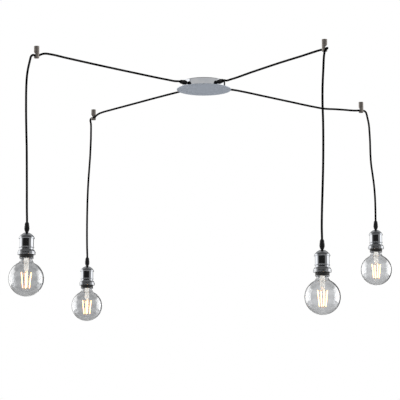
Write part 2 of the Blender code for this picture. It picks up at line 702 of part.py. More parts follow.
def holder_sleeve_mesh():
    bore = HOLDER_RADIUS - HOLDER_WALL
    top = cap_shoulder() - GAP
    seat = insert_bottom() - GAP
    slope = BEAD_HEIGHT * (1 - BEAD_FLAT_SHARE) / 2
    bead = bead_top()
    outline = (
        (bore, top),
        (HOLDER_RADIUS, top),
        (HOLDER_RADIUS, bead),
        (HOLDER_RADIUS + BEAD_PROUD, bead - slope),
        (HOLDER_RADIUS + BEAD_PROUD, bead - BEAD_HEIGHT + slope),
        (HOLDER_RADIUS - GROOVE_DEPTH, bead - BEAD_HEIGHT),
        (HOLDER_RADIUS - GROOVE_DEPTH, groove_bottom() + GROOVE_DEPTH),
        (HOLDER_RADIUS, groove_bottom()),
        (HOLDER_RADIUS, HOLDER_EDGE - HOLDER_HEIGHT),
        (HOLDER_RADIUS - HOLDER_EDGE, -HOLDER_HEIGHT),
        (bore - SEAT_WIDTH, -HOLDER_HEIGHT),
        (bore - SEAT_WIDTH, seat),
        (bore, seat),
    )
    return turned("holder_sleeve", outline, HOLDER_SIDES, closed=True)


def holder_ring_mesh():
    bore = HOLDER_RADIUS + GAP
    top = groove_bottom() - GAP
    outline = (
        (bore, top),
        (bore + RING_TOP_WIDTH, top),
        (RING_RADIUS - RING_EDGE, top - RING_SHOULDER),
        (RING_RADIUS, top - RING_SHOULDER - RING_EDGE),
        (RING_RADIUS, top - RING_HEIGHT + RING_EDGE),
        (RING_RADIUS - RING_EDGE, top - RING_HEIGHT),
        (bore, top - RING_HEIGHT),
    )
    return turned("holder_ring", outline, HOLDER_SIDES, closed=True)


def spigot_radius():
    # What the cap's bore leaves for the end of the neck
    return flats(THREAD_RADIUS - THREAD_DEPTH - CAP_WALL, THREAD_SIDES) - GAP


def contact_tip():
    # Height of the bulb's end contact above the bulb's middle
    return CAP_RIM_HEIGHT + CAP_LENGTH + GAP + CONTACT_HEIGHT


def socket_insert_mesh():
    bore = THREAD_RADIUS + INSERT_BORE_CLEARANCE
    bore_end = contact_tip() + GAP - HOLDER_TOP_HEIGHT
    top = bore_end + INSERT_CROWN
    outline = (
        (0, top),
        (INSERT_BOSS_RADIUS, top),
        (INSERT_BOSS_RADIUS, top - INSERT_BOSS_HEIGHT),
        (INSERT_RADIUS, top - INSERT_BOSS_HEIGHT),
        (INSERT_RADIUS, insert_bottom()),
        (bore, insert_bottom()),
        (bore, bore_end),
        (0, bore_end),
    )
    return turned("socket_insert", outline, HOLDER_SIDES)


# Bulb, with z = 0 at its middle


def sphere_arc(radius, rings):
    # From the bottom of the sphere up to where the neck begins.
    last = pi - radians(NECK_ANGLE)
    angles = [last * step / rings for step in range(rings + 1)]
    return [(radius * sin(angle), -radius * cos(angle)) for angle in angles]


def neck_run(start, end):
    return [
        (start[0] + (end[0] - start[0]) * across, start[1] + (end[1] - start[1]) * up)
        for across, up in NECK_SHARES
    ]


def bulb_globe_mesh():
    rim = CAP_RIM_HEIGHT - GAP
    spigot_top = rim + NECK_SPIGOT_LENGTH
    spigot = spigot_radius()
    spigot_inside = spigot - GLASS_WALL
    outer = sphere_arc(BULB_RADIUS, BULB_RINGS)
    inner = sphere_arc(BULB_RADIUS - GLASS_WALL, BULB_INNER_RINGS)
    outline = outer + neck_run(outer[-1], (NECK_RADIUS, rim))
    outline += [(NECK_RADIUS, rim), (spigot, rim), (spigot, spigot_top), (spigot_inside, spigot_top)]
    outline.append((spigot_inside, rim))
    outline += reversed(neck_run(inner[-1], (NECK_RADIUS - GLASS_WALL, rim - GLASS_WALL)))
    outline += reversed(inner)
    return turned("bulb_globe", outline, BULB_SIDES)


def bulb_cap_mesh():
    # Each column of points runs up the outside over crests and roots, then down the inside.
    # A whole turn lifts the thread by its pitch, so the last column meets the first one.
    root = THREAD_RADIUS - THREAD_DEPTH
    start = CAP_RIM_HEIGHT + CAP_RIM_LENGTH
    end = CAP_RIM_HEIGHT + CAP_LENGTH - CAP_TAPER
    top = CAP_RIM_HEIGHT + CAP_LENGTH
    bore = root - CAP_WALL
    rows = 2 * ceil((end - start) / THREAD_PITCH) + 1
    bm = bmesh.new()
    columns = []
    for side in range(THREAD_SIDES + 1):
        turn = tau * side / THREAD_SIDES
        column = [(bore, CAP_RIM_HEIGHT), (CAP_RIM_RADIUS, CAP_RIM_HEIGHT), (root, start)]
        for row in range(-2, rows):
            height = start + THREAD_PITCH * (row / 2 + side / THREAD_SIDES)
            crest = row % 2 and start < height < end
            column.append((THREAD_RADIUS if crest else root, min(max(height, start), end)))
        column += [(root, end), (CAP_TOP_RADIUS, top), (CAP_HOLE_RADIUS, top), (bore, end - CAP_TAPER)]
        columns.append([bm.verts.new((radius * cos(turn), radius * sin(turn), z)) for radius, z in column])
    for left, right in zip(columns, columns[1:]):
        for low, high in zip(range(len(left)), [*range(1, len(left)), 0]):
            bm.faces.new((left[low], right[low], right[high], left[high]))
    bmesh.ops.triangulate(bm, faces=bm.faces)
    bmesh.ops.remove_doubles(bm, verts=bm.verts, dist=MERGE)
    bmesh.ops.dissolve_degenerate(bm, edges=bm.edges, dist=MERGE)
    return mesh_of(bm, "bulb_cap")


def bulb_contact_mesh():
    seat = CAP_RIM_HEIGHT + CAP_LENGTH + GAP
    tip = contact_tip()
    button = tip - CONTACT_BUTTON
    plug = flats(CAP_HOLE_RADIUS, THREAD_SIDES) - GAP
    outline = (
        (0, seat - CONTACT_PLUG),
        (plug, seat - CONTACT_PLUG),
        (plug, seat),
        (CAP_TOP_RADIUS, seat),
        (CONTACT_RADIUS, button),
        (CONTACT_RADIUS, tip - CONTACT_ROUND),
        (CONTACT_RADIUS * CONTACT_TOP_SHARE, tip),
        (0, tip),
    )
    return turned("bulb_contact", outline, STEM_SIDES)


def bulb_stem_mesh():
    flare = flats(spigot_radius() - GLASS_WALL, BULB_SIDES) - GAP
    outline = (
        (0, STEM_TOP - STEM_RECESS),
        (STEM_RECESS_RADIUS, STEM_TOP - STEM_RECESS),
        (flare - GLASS_WALL, STEM_TOP),
        (flare, STEM_TOP),
        (flare, STEM_TOP - STEM_FLARE_RIM),
        (STEM_RADIUS, STEM_TOP - STEM_FLARE_HEIGHT),
        (STEM_RADIUS, STEM_BOTTOM + STEM_RADIUS),
        (STEM_TIP_RADIUS, STEM_BOTTOM),
        (0, STEM_BOTTOM),
    )
    stem = turned("stem_glass", outline, STEM_SIDES)
    level = Vector((0, 0, 1))
    ring = hoop("filament_ring", FILAMENT_BOTTOM_REACH, FILAMENT_BOTTOM, WIRE_RADIUS, WIRE_SIDES, STEM_SIDES)
    pieces = [ring]
    for filament in range(FILAMENT_COUNT):
        bearing = degrees(tau * (filament + 1 / 2) / FILAMENT_COUNT)
        top = plan(FILAMENT_TOP_REACH, bearing) + level * FILAMENT_TOP
        bottom = plan(FILAMENT_BOTTOM_REACH, bearing) + level * FILAMENT_BOTTOM
        root = plan(WIRE_ROOT_REACH, bearing) + level * (STEM_BOTTOM + WIRE_ROOT_REACH)
        pieces.append(rod("filament", bottom, top, FILAMENT_RADIUS, FILAMENT_SIDES))
        pieces.append(rod("filament_wire", root, top - level * FILAMENT_RADIUS, WIRE_RADIUS, WIRE_SIDES))
    return combined("bulb_stem", stem, pieces, "UNION")


# Assembly


def add_canopy(finishes):
    canopy = add_empty("canopy", (0, 0, 0))
    add_piece("ceiling_bracket", bracket_mesh(), finishes["zinc_steel"], canopy)
    add_piece("canopy_body", canopy_body_mesh(), finishes["polished_metal"], canopy)
    add_piece("canopy_disc", canopy_disc_mesh(), finishes["satin_grey"], canopy)
    add_piece("terminal_block", terminal_mesh(), finishes["white_plastic"], canopy)
    return canopy


def add_lamp(lamp, canopy, meshes, finishes):
    number = lamp + 1
    bearing = GLAND_BEARINGS[lamp]
    gland_way = plan(1, bearing)
    gland_seat = plan(CANOPY_RADIUS, bearing) + Vector((0, 0, -GLAND_HEIGHT))
    gland_end = gland_seat + gland_way * GLAND_LENGTH
    hook = plan(HOOK_REACHES[lamp], HOOK_BEARINGS[lamp])
    out = hook - Vector((gland_end.x, gland_end.y, 0))
    out.normalize()
    aside = Vector((-out.y, out.x, 0))
    slot_turn = atan2(out.y, out.x) + radians(SLOT_TURNS[lamp])
    lamp_top = hook + out * LAMP_OUTS[lamp] + aside * LAMP_SIDES[lamp]
    lamp_top.z = HOLDER_TOP_HEIGHT + GLAND_LENGTH - BULB_DEPTHS[lamp]

    points, pocket_mark, pivot_mark = cord_points(lamp, gland_end, gland_way, hook, out, lamp_top)
    fine, marks = smooth_curve(points)
    pocket, pivot = marks[pocket_mark], marks[pivot_mark]
    pocket_point = hook - Vector((0, 0, POCKET_HEIGHT))
    holder_top = lamp_top - Vector((0, 0, GLAND_LENGTH))
    bulb_middle = holder_top - Vector((0, 0, HOLDER_TOP_HEIGHT))

    link = add_empty(f"cord_swing_{number}", pocket_point, canopy)
    pendant = add_empty(f"pendant_{number}", fine[pivot] - pocket_point, link)
    holder = add_empty(f"holder_{number}", holder_top - fine[pivot], pendant)
    bulb = add_empty(f"bulb_{number}", bulb_middle - holder_top, holder)
    bpy.context.view_layer.update()

    black, metal = finishes["black_plastic"], finishes["polished_metal"]
    level_out = (0, pi / 2, radians(bearing))
    add_piece(f"canopy_gland_{number}", meshes["gland"], black, canopy, gland_seat, level_out)
    nickel, textile = finishes["satin_nickel"], finishes["black_textile"]
    add_piece(f"ceiling_hook_{number}", meshes["hook"], nickel, canopy, hook, (0, 0, slot_turn))
    bend = shortened(shortened(fine[pocket : pivot + 1], CORD_RADIUS + GAP)[::-1], GAP)[::-1]
    rings = add_cord(f"arm_cord_{number}", fine[: pocket + 1], textile, canopy)
    rings += add_cord(f"cord_link_{number}", bend, textile, link, end_run=LINK_END_RUN)
    rings += add_cord(f"drop_cord_{number}", fine[pivot:], textile, pendant, rounded=True)
    add_piece(f"holder_gland_{number}", meshes["gland"], black, holder)
    add_piece(f"holder_cap_{number}", meshes["holder_cap"], metal, holder)
    add_piece(f"holder_sleeve_{number}", meshes["holder_sleeve"], metal, holder)
    add_piece(f"holder_ring_{number}", meshes["holder_ring"], metal, holder)
    add_piece(f"socket_insert_{number}", meshes["socket_insert"], finishes["dark_insert"], holder)
    add_piece(f"bulb_contact_{number}", meshes["bulb_contact"], finishes["contact_metal"], bulb)
    add_piece(f"bulb_cap_{number}", meshes["bulb_cap"], finishes["nickel_cap"], bulb)
    add_piece(f"bulb_globe_{number}", meshes["bulb_globe"], finishes["clear_glass"], bulb)
    add_piece(f"bulb_stem_{number}", meshes["bulb_stem"], finishes["led_filament"], bulb)
    print(
        f"lamp {number}: cord {run_length(fine):.3f} m, arm {run_length(fine[: pocket + 1]):.3f} m, "
        f"{rings} rings, outwards {out.x:.4f} {out.y:.4f}, pivot {fine[pivot].x:.4f} {fine[pivot].y:.4f}"
    )


def build():
    clear_scene()
    finishes = make_finishes()
    canopy = add_canopy(finishes)
    meshes = {
        "gland": gland_mesh(),
        "hook": hook_mesh(),
        "holder_cap": holder_cap_mesh(),
        "holder_sleeve": holder_sleeve_mesh(),
        "holder_ring": holder_ring_mesh(),
        "socket_insert": socket_insert_mesh(),
        "bulb_contact": bulb_contact_mesh(),
        "bulb_cap": bulb_cap_mesh(),
        "bulb_globe": bulb_globe_mesh(),
        "bulb_stem": bulb_stem_mesh(),
    }
    for lamp in range(len(HOOK_REACHES)):
        add_lamp(lamp, canopy, meshes, finishes)


build()
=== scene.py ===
# The looks of a ceiling pendant light: four globe bulbs hang on long textile cords from one round canopy.
# Metres, +Z up. The ceiling is z = 0 and the canopy's axis is x = y = 0. Outlines and the cords' routes are
# written in millimetres.

from math import atan2, ceil, cos, pi, radians, sin, tan, tau

import bmesh
import bpy
from mathutils import Matrix, Vector


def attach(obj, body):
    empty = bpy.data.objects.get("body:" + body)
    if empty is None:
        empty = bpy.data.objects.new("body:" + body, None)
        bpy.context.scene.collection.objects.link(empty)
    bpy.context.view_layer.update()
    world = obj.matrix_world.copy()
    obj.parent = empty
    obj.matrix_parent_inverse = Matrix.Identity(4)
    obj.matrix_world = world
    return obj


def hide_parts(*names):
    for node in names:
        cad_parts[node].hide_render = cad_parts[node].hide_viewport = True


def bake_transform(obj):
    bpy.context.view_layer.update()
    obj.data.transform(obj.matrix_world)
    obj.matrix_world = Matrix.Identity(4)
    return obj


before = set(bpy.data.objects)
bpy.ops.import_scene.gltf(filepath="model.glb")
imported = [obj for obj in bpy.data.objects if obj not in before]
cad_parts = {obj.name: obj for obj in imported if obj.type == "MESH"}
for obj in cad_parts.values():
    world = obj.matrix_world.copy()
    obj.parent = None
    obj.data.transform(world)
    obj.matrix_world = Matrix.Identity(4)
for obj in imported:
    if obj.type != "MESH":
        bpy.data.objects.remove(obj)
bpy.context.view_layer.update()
scene = bpy.context.scene
level = Vector((0, 0, 1))
sharpEdge = radians(38)
weldReach = 0.000001

# Node trees


class Amount:
    # One value in a node tree. Arithmetic on it adds Math nodes.
    def __init__(self, graph, socket):
        self.graph = graph
        self.socket = socket

    def __add__(self, other):
        return self.graph.maths("ADD", self, other)

    def __sub__(self, other):
        return self.graph.maths("SUBTRACT", self, other)

    def __rsub__(self, other):
        return self.graph.maths("SUBTRACT", other, self)

    def __mul__(self, other):
        return self.graph.maths("MULTIPLY", self, other)

    def __truediv__(self, other):
        return self.graph.maths("DIVIDE", self, other)

    def __neg__(self):
        return self * -1.0

    def __gt__(self, other):
        return self.graph.maths("GREATER_THAN", self, other)

    __radd__ = __add__
    __rmul__ = __mul__

    def part(self, name):
        # Another output of the same node
        return Amount(self.graph, findSocket(self.socket.node.outputs, name))


def findSocket(sockets, name):
    return next(socket for socket in sockets if socket.name == name and socket.enabled)


def grey(shade):
    return (shade, shade, shade, 1)


class Graph:
    def __init__(self, tree):
        self.tree = tree
        tree.nodes.clear()

    def add(self, kind, values=None, output=None, **settings):
        # A node with its settings, whose inputs take the values by name or number
        node = self.tree.nodes.new(kind)
        for name, value in settings.items():
            setattr(node, name, value)
        for name, value in (values or {}).items():
            socket = node.inputs[name] if isinstance(name, int) else findSocket(node.inputs, name)
            if isinstance(value, Amount):
                self.tree.links.new(value.socket, socket)
            else:
                socket.default_value = value
        if output is None:
            found = next((socket for socket in node.outputs if socket.enabled), None)
        else:
            found = findSocket(node.outputs, output)
        return Amount(self, found)

    def maths(self, operation, first, second=0.0):
        return self.add("ShaderNodeMath", {0: first, 1: second}, operation=operation)

    def given(self, name):
        return self.add("NodeGroupInput", output=name)

    def combined(self, x, y, z):
        return self.add("ShaderNodeCombineXYZ", {"X": x, "Y": y, "Z": z})

    def blended(self, share, first, second):
        return self.add("ShaderNodeMix", {"Factor": share, "A": first, "B": second}, data_type="RGBA")

    def softStep(self, value, limits):
        ranges = {"Value": value, "From Min": limits[0], "From Max": limits[1]}
        return self.add("ShaderNodeMapRange", ranges, interpolation_type="SMOOTHSTEP")

    def noise(self, at, scale, detail, stretch=None):
        if stretch:
            at = self.add("ShaderNodeMapping", {"Vector": at, "Scale": stretch})
        return self.add("ShaderNodeTexNoise", {"Vector": at, "Scale": scale, "Detail": detail}, "Fac")

    def bump(self, height, strength, distance):
        return self.add("ShaderNodeBump", {"Strength": strength, "Distance": distance, "Height": height})

    def ramp(self, share, stops):
        colour = self.add("ShaderNodeValToRGB", {"Fac": share}, "Color")
        elements = colour.socket.node.color_ramp.elements
        while len(elements) < len(stops):
            elements.new(1.0)
        for element, (position, shade) in zip(elements, stops):
            element.position = position
            element.color = (*shade, 1) if isinstance(shade, tuple) else grey(shade)
        return colour

    def surface(self, values):
        shader = self.add("ShaderNodeBsdfPrincipled", values)
        self.add("ShaderNodeOutputMaterial", {"Surface": shader})


def newFinish(name):
    finish = bpy.data.materials.new(name)
    finish.use_nodes = True
    graph = Graph(finish.node_tree)
    return finish, graph, graph.add("ShaderNodeTexCoord", output="Object")


def newTree(name, *inputs):
    tree = bpy.data.node_groups.new(name, "GeometryNodeTree")
    kinds = {"Shape": "Geometry", "Finish": "Material"}
    kinds |= dict.fromkeys(("Sides", "Columns", "Rows", "Count", "Points"), "Int")
    for label in ("Shape", *inputs, "Finish"):
        kind = "NodeSocket" + kinds.get(label, "Float")
        tree.interface.new_socket(label, in_out="INPUT", socket_type=kind)
    tree.interface.new_socket("Result", in_out="OUTPUT", socket_type="NodeSocketGeometry")
    return Graph(tree)


def closeTree(graph, shape):
    whole = graph.add("GeometryNodeRealizeInstances", {"Geometry": shape})
    values = {"Geometry": whole, "Material": graph.given("Finish")}
    graph.add("NodeGroupOutput", {"Result": graph.add("GeometryNodeSetMaterial", values)})
    return graph.tree


def evaluatedMesh(thing, name):
    bpy.context.view_layer.update()
    depsgraph = bpy.context.evaluated_depsgraph_get()
    mesh = bpy.data.meshes.new_from_object(thing.evaluated_get(depsgraph))
    mesh.name = name
    return mesh


def grownMesh(name, tree, base, sizes):
    # Runs a tree on a base mesh and gives back a plain mesh.
    holder = bpy.data.objects.new(name, base)
    scene.collection.objects.link(holder)
    step = holder.modifiers.new("grow", "NODES")
    step.node_group = tree
    for item in tree.interface.items_tree:
        if item.name in sizes:
            step[item.identifier] = sizes[item.name]
    mesh = evaluatedMesh(holder, name)
    bpy.data.objects.remove(holder, do_unlink=True)
    mesh.shade_smooth()
    return mesh


# Camera, studio and floor

cameraSizes = {
    "place": (-0.0115, -5.5, -1.2413),
    "tilt": 99.162,
    "lens": 171.45,
    "sensor": 36.0,
    "farthest": 100.0,
}


def addCamera():
    lens = bpy.data.cameras.new("camera")
    lens.lens = cameraSizes["lens"]
    lens.sensor_width = cameraSizes["sensor"]
    lens.clip_end = cameraSizes["farthest"]
    camera = bpy.data.objects.new("camera", lens)
    camera.location = cameraSizes["place"]
    camera.rotation_euler = (radians(cameraSizes["tilt"]), 0, 0)
    scene.collection.objects.link(camera)
    scene.camera = camera
    scene.view_settings.view_transform = "Standard"


# around is the brightness round the light, by degrees from the camera's side: a dark card in front, white
# at the sides and a softer grey behind. A pair is where a soft edge starts and ends.
studioSizes = {
    "around": (
        (-180, 0.45), (-172, 0.42), (-168, 0.15), (-152, 0.15), (-146, 1.6), (-86, 1.7), (-82, 0.30),
        (-62, 0.30), (-58, 0.02), (40, 0.02), (44, 0.33), (78, 0.33), (83, 1.8), (133, 1.7),
        (138, 0.03), (170, 0.03), (173, 0.62), (177, 0.64), (180, 0.45),
    ),
    "band": 0.76,  # above the dark card, seen in the drum
    "bandRise": (0.15, 0.20),
    "bandFront": (0.12, 0.26),
    "overheadFront": 0.12,
    "overheadBack": 0.45,
    "overheadRise": (0.50, 0.66),
    "overheadTurn": (0.0, 0.35),
    "backdrop": 1.0,
    "floorHeight": -2.5,
    "floorSize": 14.0,
    "floorTones": ((0.3, 0.80), (0.7, 0.84)),
    "floorGrain": (3.0, 4.0),
    "floorRoughness": 0.8,
}


def makeStudio():
    s = studioSizes
    world = bpy.data.worlds.new("studio")
    world.use_nodes = True
    scene.world = world
    graph = Graph(world.node_tree)
    way = graph.add("ShaderNodeTexCoord", output="Generated")
    x = graph.add("ShaderNodeSeparateXYZ", {"Vector": way}, "X")
    y, z = x.part("Y"), x.part("Z")
    bearing = graph.maths("ARCTAN2", x, -y) / tau + 0.5
    around = graph.ramp(bearing, [((angle + 180) / 360, shade) for angle, shade in s["around"]])
    band = graph.softStep(z, s["bandRise"]) * graph.softStep(-y, s["bandFront"])
    low = graph.blended(band, around, grey(s["band"]))
    turn = graph.softStep(y, s["overheadTurn"])
    overhead = graph.blended(turn, grey(s["overheadFront"]), grey(s["overheadBack"]))
    soft = graph.blended(graph.softStep(z, s["overheadRise"]), low, overhead)
    seen = graph.add("ShaderNodeLightPath", output="Is Camera Ray")
    light = graph.add("ShaderNodeBackground", {"Color": soft})
    backdrop = graph.add("ShaderNodeBackground", {"Color": grey(s["backdrop"])})
    both = graph.add("ShaderNodeMixShader", {0: seen, 1: light, 2: backdrop})
    graph.add("ShaderNodeOutputWorld", {"Surface": both})


def addFloor():
    s = studioSizes
    finish, graph, at = newFinish("paleFloor")
    grain = graph.noise(at, *s["floorGrain"])
    graph.surface({"Base Color": graph.ramp(grain, s["floorTones"]), "Roughness": s["floorRoughness"]})
    half, height = s["floorSize"] / 2, s["floorHeight"]
    corners = [(-half, -half, height), (half, -half, height), (half, half, height), (-half, half, height)]
    mesh = bpy.data.meshes.new("floor")
    mesh.from_pydata(corners, [], [(0, 1, 2, 3)])
    mesh.materials.append(finish)
    floor = bpy.data.objects.new("floor", mesh)
    scene.collection.objects.link(floor)


addCamera()
makeStudio()
addFloor()
print("camera, studio and floor: made")

# Finishes

# shading and grain are noises of (scale per metre, detail, stretch). The shading runs a colour through its
# two tones, and the grain gives the bump of (strength, distance). Without a grain the shading does both.
# gloss is the roughness, then how much of the shading and of the grain is added to it. What is fixed goes in
# as it is. crystals stand in for the shading, rings are faint marks of turning, in radians per metre, and
# rimCoat is a coat's weight from the faces seen square to those seen edge on.
usualStops = (0.3, 0.7)
finishSizes = {
    "polishedMetal": {
        "slot": "polished_metal", "shading": (45.0, 3.0), "grain": (420.0, 2.0), "stops": (0.35, 0.65),
        "Base Color": ((0.52, 0.54, 0.57), (0.58, 0.59, 0.61)), "gloss": (0.02, 0.03, 0.02),
        "bump": (0.02, 0.0002), "fixed": {"Metallic": 1.0},
    },
    "satinGrey": {
        "slot": "satin_grey", "shading": (14.0, 2.0), "grain": (900.0, 3.0),
        "Base Color": ((0.665, 0.735, 0.850), (0.700, 0.770, 0.885)), "gloss": (0.46, 0.0, 0.10),
        "bump": (0.12, 0.0001), "rings": 9000.0, "ringGloss": 0.04, "ringBump": 0.3,
        "fixed": {"Metallic": 0.25},
    },
    "satinNickel": {
        "slot": "satin_nickel", "shading": (80.0, 2.0), "grain": (260.0, 3.0, (1, 1, 14)),
        "Base Color": ((0.26, 0.235, 0.215), (0.33, 0.30, 0.275)), "gloss": (0.50, 0.0, 0.14),
        "bump": (0.10, 0.0001), "fixed": {"Metallic": 1.0},
    },
    "zincSteel": {
        "slot": "zinc_steel", "crystals": 170.0, "grain": (700.0, 3.0), "stops": (0.0, 1.0),
        "Base Color": ((0.44, 0.46, 0.48), (0.60, 0.61, 0.62)), "gloss": (0.30, 0.20, 0.06),
        "bump": (0.10, 0.0001), "fixed": {"Metallic": 1.0},
    },
    "blackPlastic": {
        "slot": "black_plastic", "shading": (90.0, 2.0), "grain": (1100.0, 3.0),
        "Base Color": ((0.006, 0.006, 0.007), (0.013, 0.013, 0.014)), "gloss": (0.46, 0.0, 0.18),
        "bump": (0.25, 0.0002), "fixed": {"Specular IOR Level": 0.30},
    },
    "whitePlastic": {
        "slot": "white_plastic", "shading": (60.0, 2.0), "grain": (500.0, 3.0),
        "Base Color": ((0.70, 0.69, 0.65), (0.77, 0.76, 0.73)), "gloss": (0.38, 0.0, 0.16),
        "bump": (0.08, 0.0001),
    },
    "darkInsert": {
        "slot": "dark_insert", "shading": (110.0, 2.0), "grain": (600.0, 3.0),
        "Base Color": ((0.022, 0.021, 0.021), (0.038, 0.036, 0.034)), "gloss": (0.32, 0.0, 0.20),
        "bump": (0.10, 0.0001),
    },
    "nickelCap": {
        "slot": "nickel_cap", "shading": (150.0, 3.0), "grain": (900.0, 2.0),
        "Base Color": ((0.50, 0.48, 0.44), (0.63, 0.61, 0.57)), "gloss": (0.18, 0.16, 0.05),
        "bump": (0.06, 0.0001), "fixed": {"Metallic": 1.0},
    },
    "contactMetal": {
        "slot": "contact_metal", "shading": (500.0, 3.0),
        "Base Color": ((0.42, 0.38, 0.33), (0.56, 0.52, 0.46)), "gloss": (0.30, 0.20, 0.0),
        "bump": (0.15, 0.0002), "fixed": {"Metallic": 1.0},
    },
    "clearGlass": {
        "slot": "clear_glass", "shading": (35.0, 3.0),
        "Base Color": ((0.935, 0.945, 0.955), (0.955, 0.965, 0.975)), "gloss": (0.004, 0.004, 0.0),
        "rimCoat": ((0.12, 0.0), (0.45, 1.0)),
        "fixed": {"IOR": 1.5, "Transmission Weight": 1.0, "Coat IOR": 2.8, "Coat Roughness": 0.02},
    },
    # The stem's emission is a painted glow. The stem is no lamp; the glow stands in for the filaments' light
    # carried up the glass.
    "stemGlassPaintedGlow": {
        "slot": "clear_glass", "shading": (90.0, 2.0, (6, 6, 1)),
        "Base Color": ((0.80, 0.80, 0.79), (0.97, 0.97, 0.96)),
        "Emission Color": ((0.62, 0.60, 0.56), (1.0, 0.97, 0.92)), "gloss": (0.12, 0.10, 0.0),
        "bump": (0.10, 0.0003),
        "fixed": {"IOR": 1.52, "Transmission Weight": 0.35, "Emission Strength": 0.40},
    },
    "ledFilament": {
        "slot": "led_filament", "shading": (900.0, 2.0),
        "Emission Color": ((1.0, 0.44, 0.15), (1.0, 0.52, 0.21)), "gloss": (0.5, 0.0, 0.0),
        "fixed": {"Base Color": (1.0, 0.72, 0.30, 1), "Emission Strength": 7.5},
    },
    "filamentWire": {
        "slot": "contact_metal", "shading": (2000.0, 2.0),
        "Base Color": ((0.52, 0.47, 0.42), (0.64, 0.60, 0.55)), "gloss": (0.25, 0.15, 0.0),
        "fixed": {"Metallic": 1.0},
    },
}


def ringLines(graph, at, perMetre):
    # Circles round the Z axis, from 0 to 1 and back
    flat = graph.add("ShaderNodeVectorMath", {0: at, 1: (1, 1, 0)}, operation="MULTIPLY")
    reach = graph.add("ShaderNodeVectorMath", {0: flat}, "Value", operation="LENGTH")
    return graph.maths("SINE", reach * perMetre) * 0.5 + 0.5


def makeFinish(name):
    s = finishSizes[name]
    finish, graph, at = newFinish(name)
    if "crystals" in s:
        cells = graph.add("ShaderNodeTexVoronoi", {"Vector": at, "Scale": s["crystals"]}, "Color")
        shading = graph.add("ShaderNodeSeparateColor", {"Color": cells}, "Red")
    else:
        shading = graph.noise(at, *s["shading"])
    grain = graph.noise(at, *s["grain"]) if "grain" in s else shading
    values = dict(s.get("fixed", {}))
    for colour in ("Base Color", "Emission Color"):
        if colour in s:
            values[colour] = graph.ramp(shading, list(zip(s.get("stops", usualStops), s[colour])))
    values["Roughness"], *shares = s["gloss"]
    height = grain
    for share, noise in zip(shares, (shading, grain)):
        if share:
            values["Roughness"] = values["Roughness"] + share * noise
    if "rings" in s:
        rings = ringLines(graph, at, s["rings"])
        values["Roughness"] = values["Roughness"] + s["ringGloss"] * rings
        height = grain + s["ringBump"] * rings
    if "bump" in s:
        values["Normal"] = graph.bump(height, *s["bump"])
    if "rimCoat" in s:
        facing = graph.add("ShaderNodeLayerWeight", output="Facing")
        values["Coat Weight"] = graph.ramp(facing, s["rimCoat"])
    graph.surface(values)
    return finish


textileSizes = {
    "strands": 12.0,  # of the braid, round the cord
    "rows": 420.0,  # of the braid, per metre
    "proud": 0.00035,
    "fuzz": (2500.0, 3.0),
    "fuzzShade": 0.3,
    "fuzzBump": 0.25,
    # The tones run from a painted shade down between the strands to the strands' tops.
    "tones": ((0.1, (0.0015, 0.0015, 0.0017)), (0.9, (0.0055, 0.0055, 0.006))),
    "roughness": 0.86,
    "fuzzRoughness": 0.12,
    "shine": 0.03,
    "bump": 0.4,
}


def makeBlackTextile():
    s = textileSizes
    finish, graph, at = newFinish("blackTextile")
    across = graph.add("ShaderNodeUVMap", uv_map="UVMap")
    around = graph.add("ShaderNodeSeparateXYZ", {"Vector": across}, "X")
    turns, rows = around * s["strands"], around.part("Y") * s["rows"]
    leftward, rightward = turns + rows, turns - rows
    overUnder = graph.maths("PINGPONG", graph.maths("FLOOR", leftward) + graph.maths("FLOOR", rightward), 1.0)
    leftRidge = graph.maths("ABSOLUTE", graph.maths("SINE", leftward * pi))
    rightRidge = graph.maths("ABSOLUTE", graph.maths("SINE", rightward * pi))
    height = leftRidge * overUnder + rightRidge * (1.0 - overUnder)
    fuzz = graph.noise(at, *s["fuzz"])
    # The colour is partly a painted shade, darker down between the strands and lighter on their tops, and
    # partly the fuzz's own random tone.
    shade = height * (1 - s["fuzzShade"]) + fuzz * s["fuzzShade"]
    graph.surface({
        "Base Color": graph.ramp(shade, s["tones"]),
        "Roughness": s["roughness"] + s["fuzzRoughness"] * fuzz,
        "Specular IOR Level": s["shine"],
        "Normal": graph.bump(height + s["fuzzBump"] * fuzz, s["bump"], s["proud"]),
    })
    return finish


finishes = {name: makeFinish(name) for name in finishSizes}
finishes["blackTextile"] = makeBlackTextile()
print(f"finishes: {len(finishes)} made")

# Where things are

lampPlaces = {
    "hookReaches": (0.6323, 0.5325, 0.6071, 0.5677),
    "hookBearings": (223.72, 130.81, 302.14, 30.72),
    "glandBearings": (220.0, 130.0, 308.0, 32.0),
    "slotTurns": (-90.0, 90.0, 90.0, 90.0),
    "outs": (0.0249, 0.0255, 0.0150, 0.0492),
    "sides": (0.0, 0.0, -0.0251, 0.0),
    "bulbDepths": (0.6400, 0.6205, 0.6980, 0.5210),
    "holderTop": 0.1235,  # above the bulb's middle
    "glandLength": 0.028,
    "glandHeight": 0.013,
    "canopyRadius": 0.063,
    "pocketHeight": 0.026,
}


def plan(reach, bearing):
    return Vector((reach * cos(radians(bearing)), reach * sin(radians(bearing)), 0))


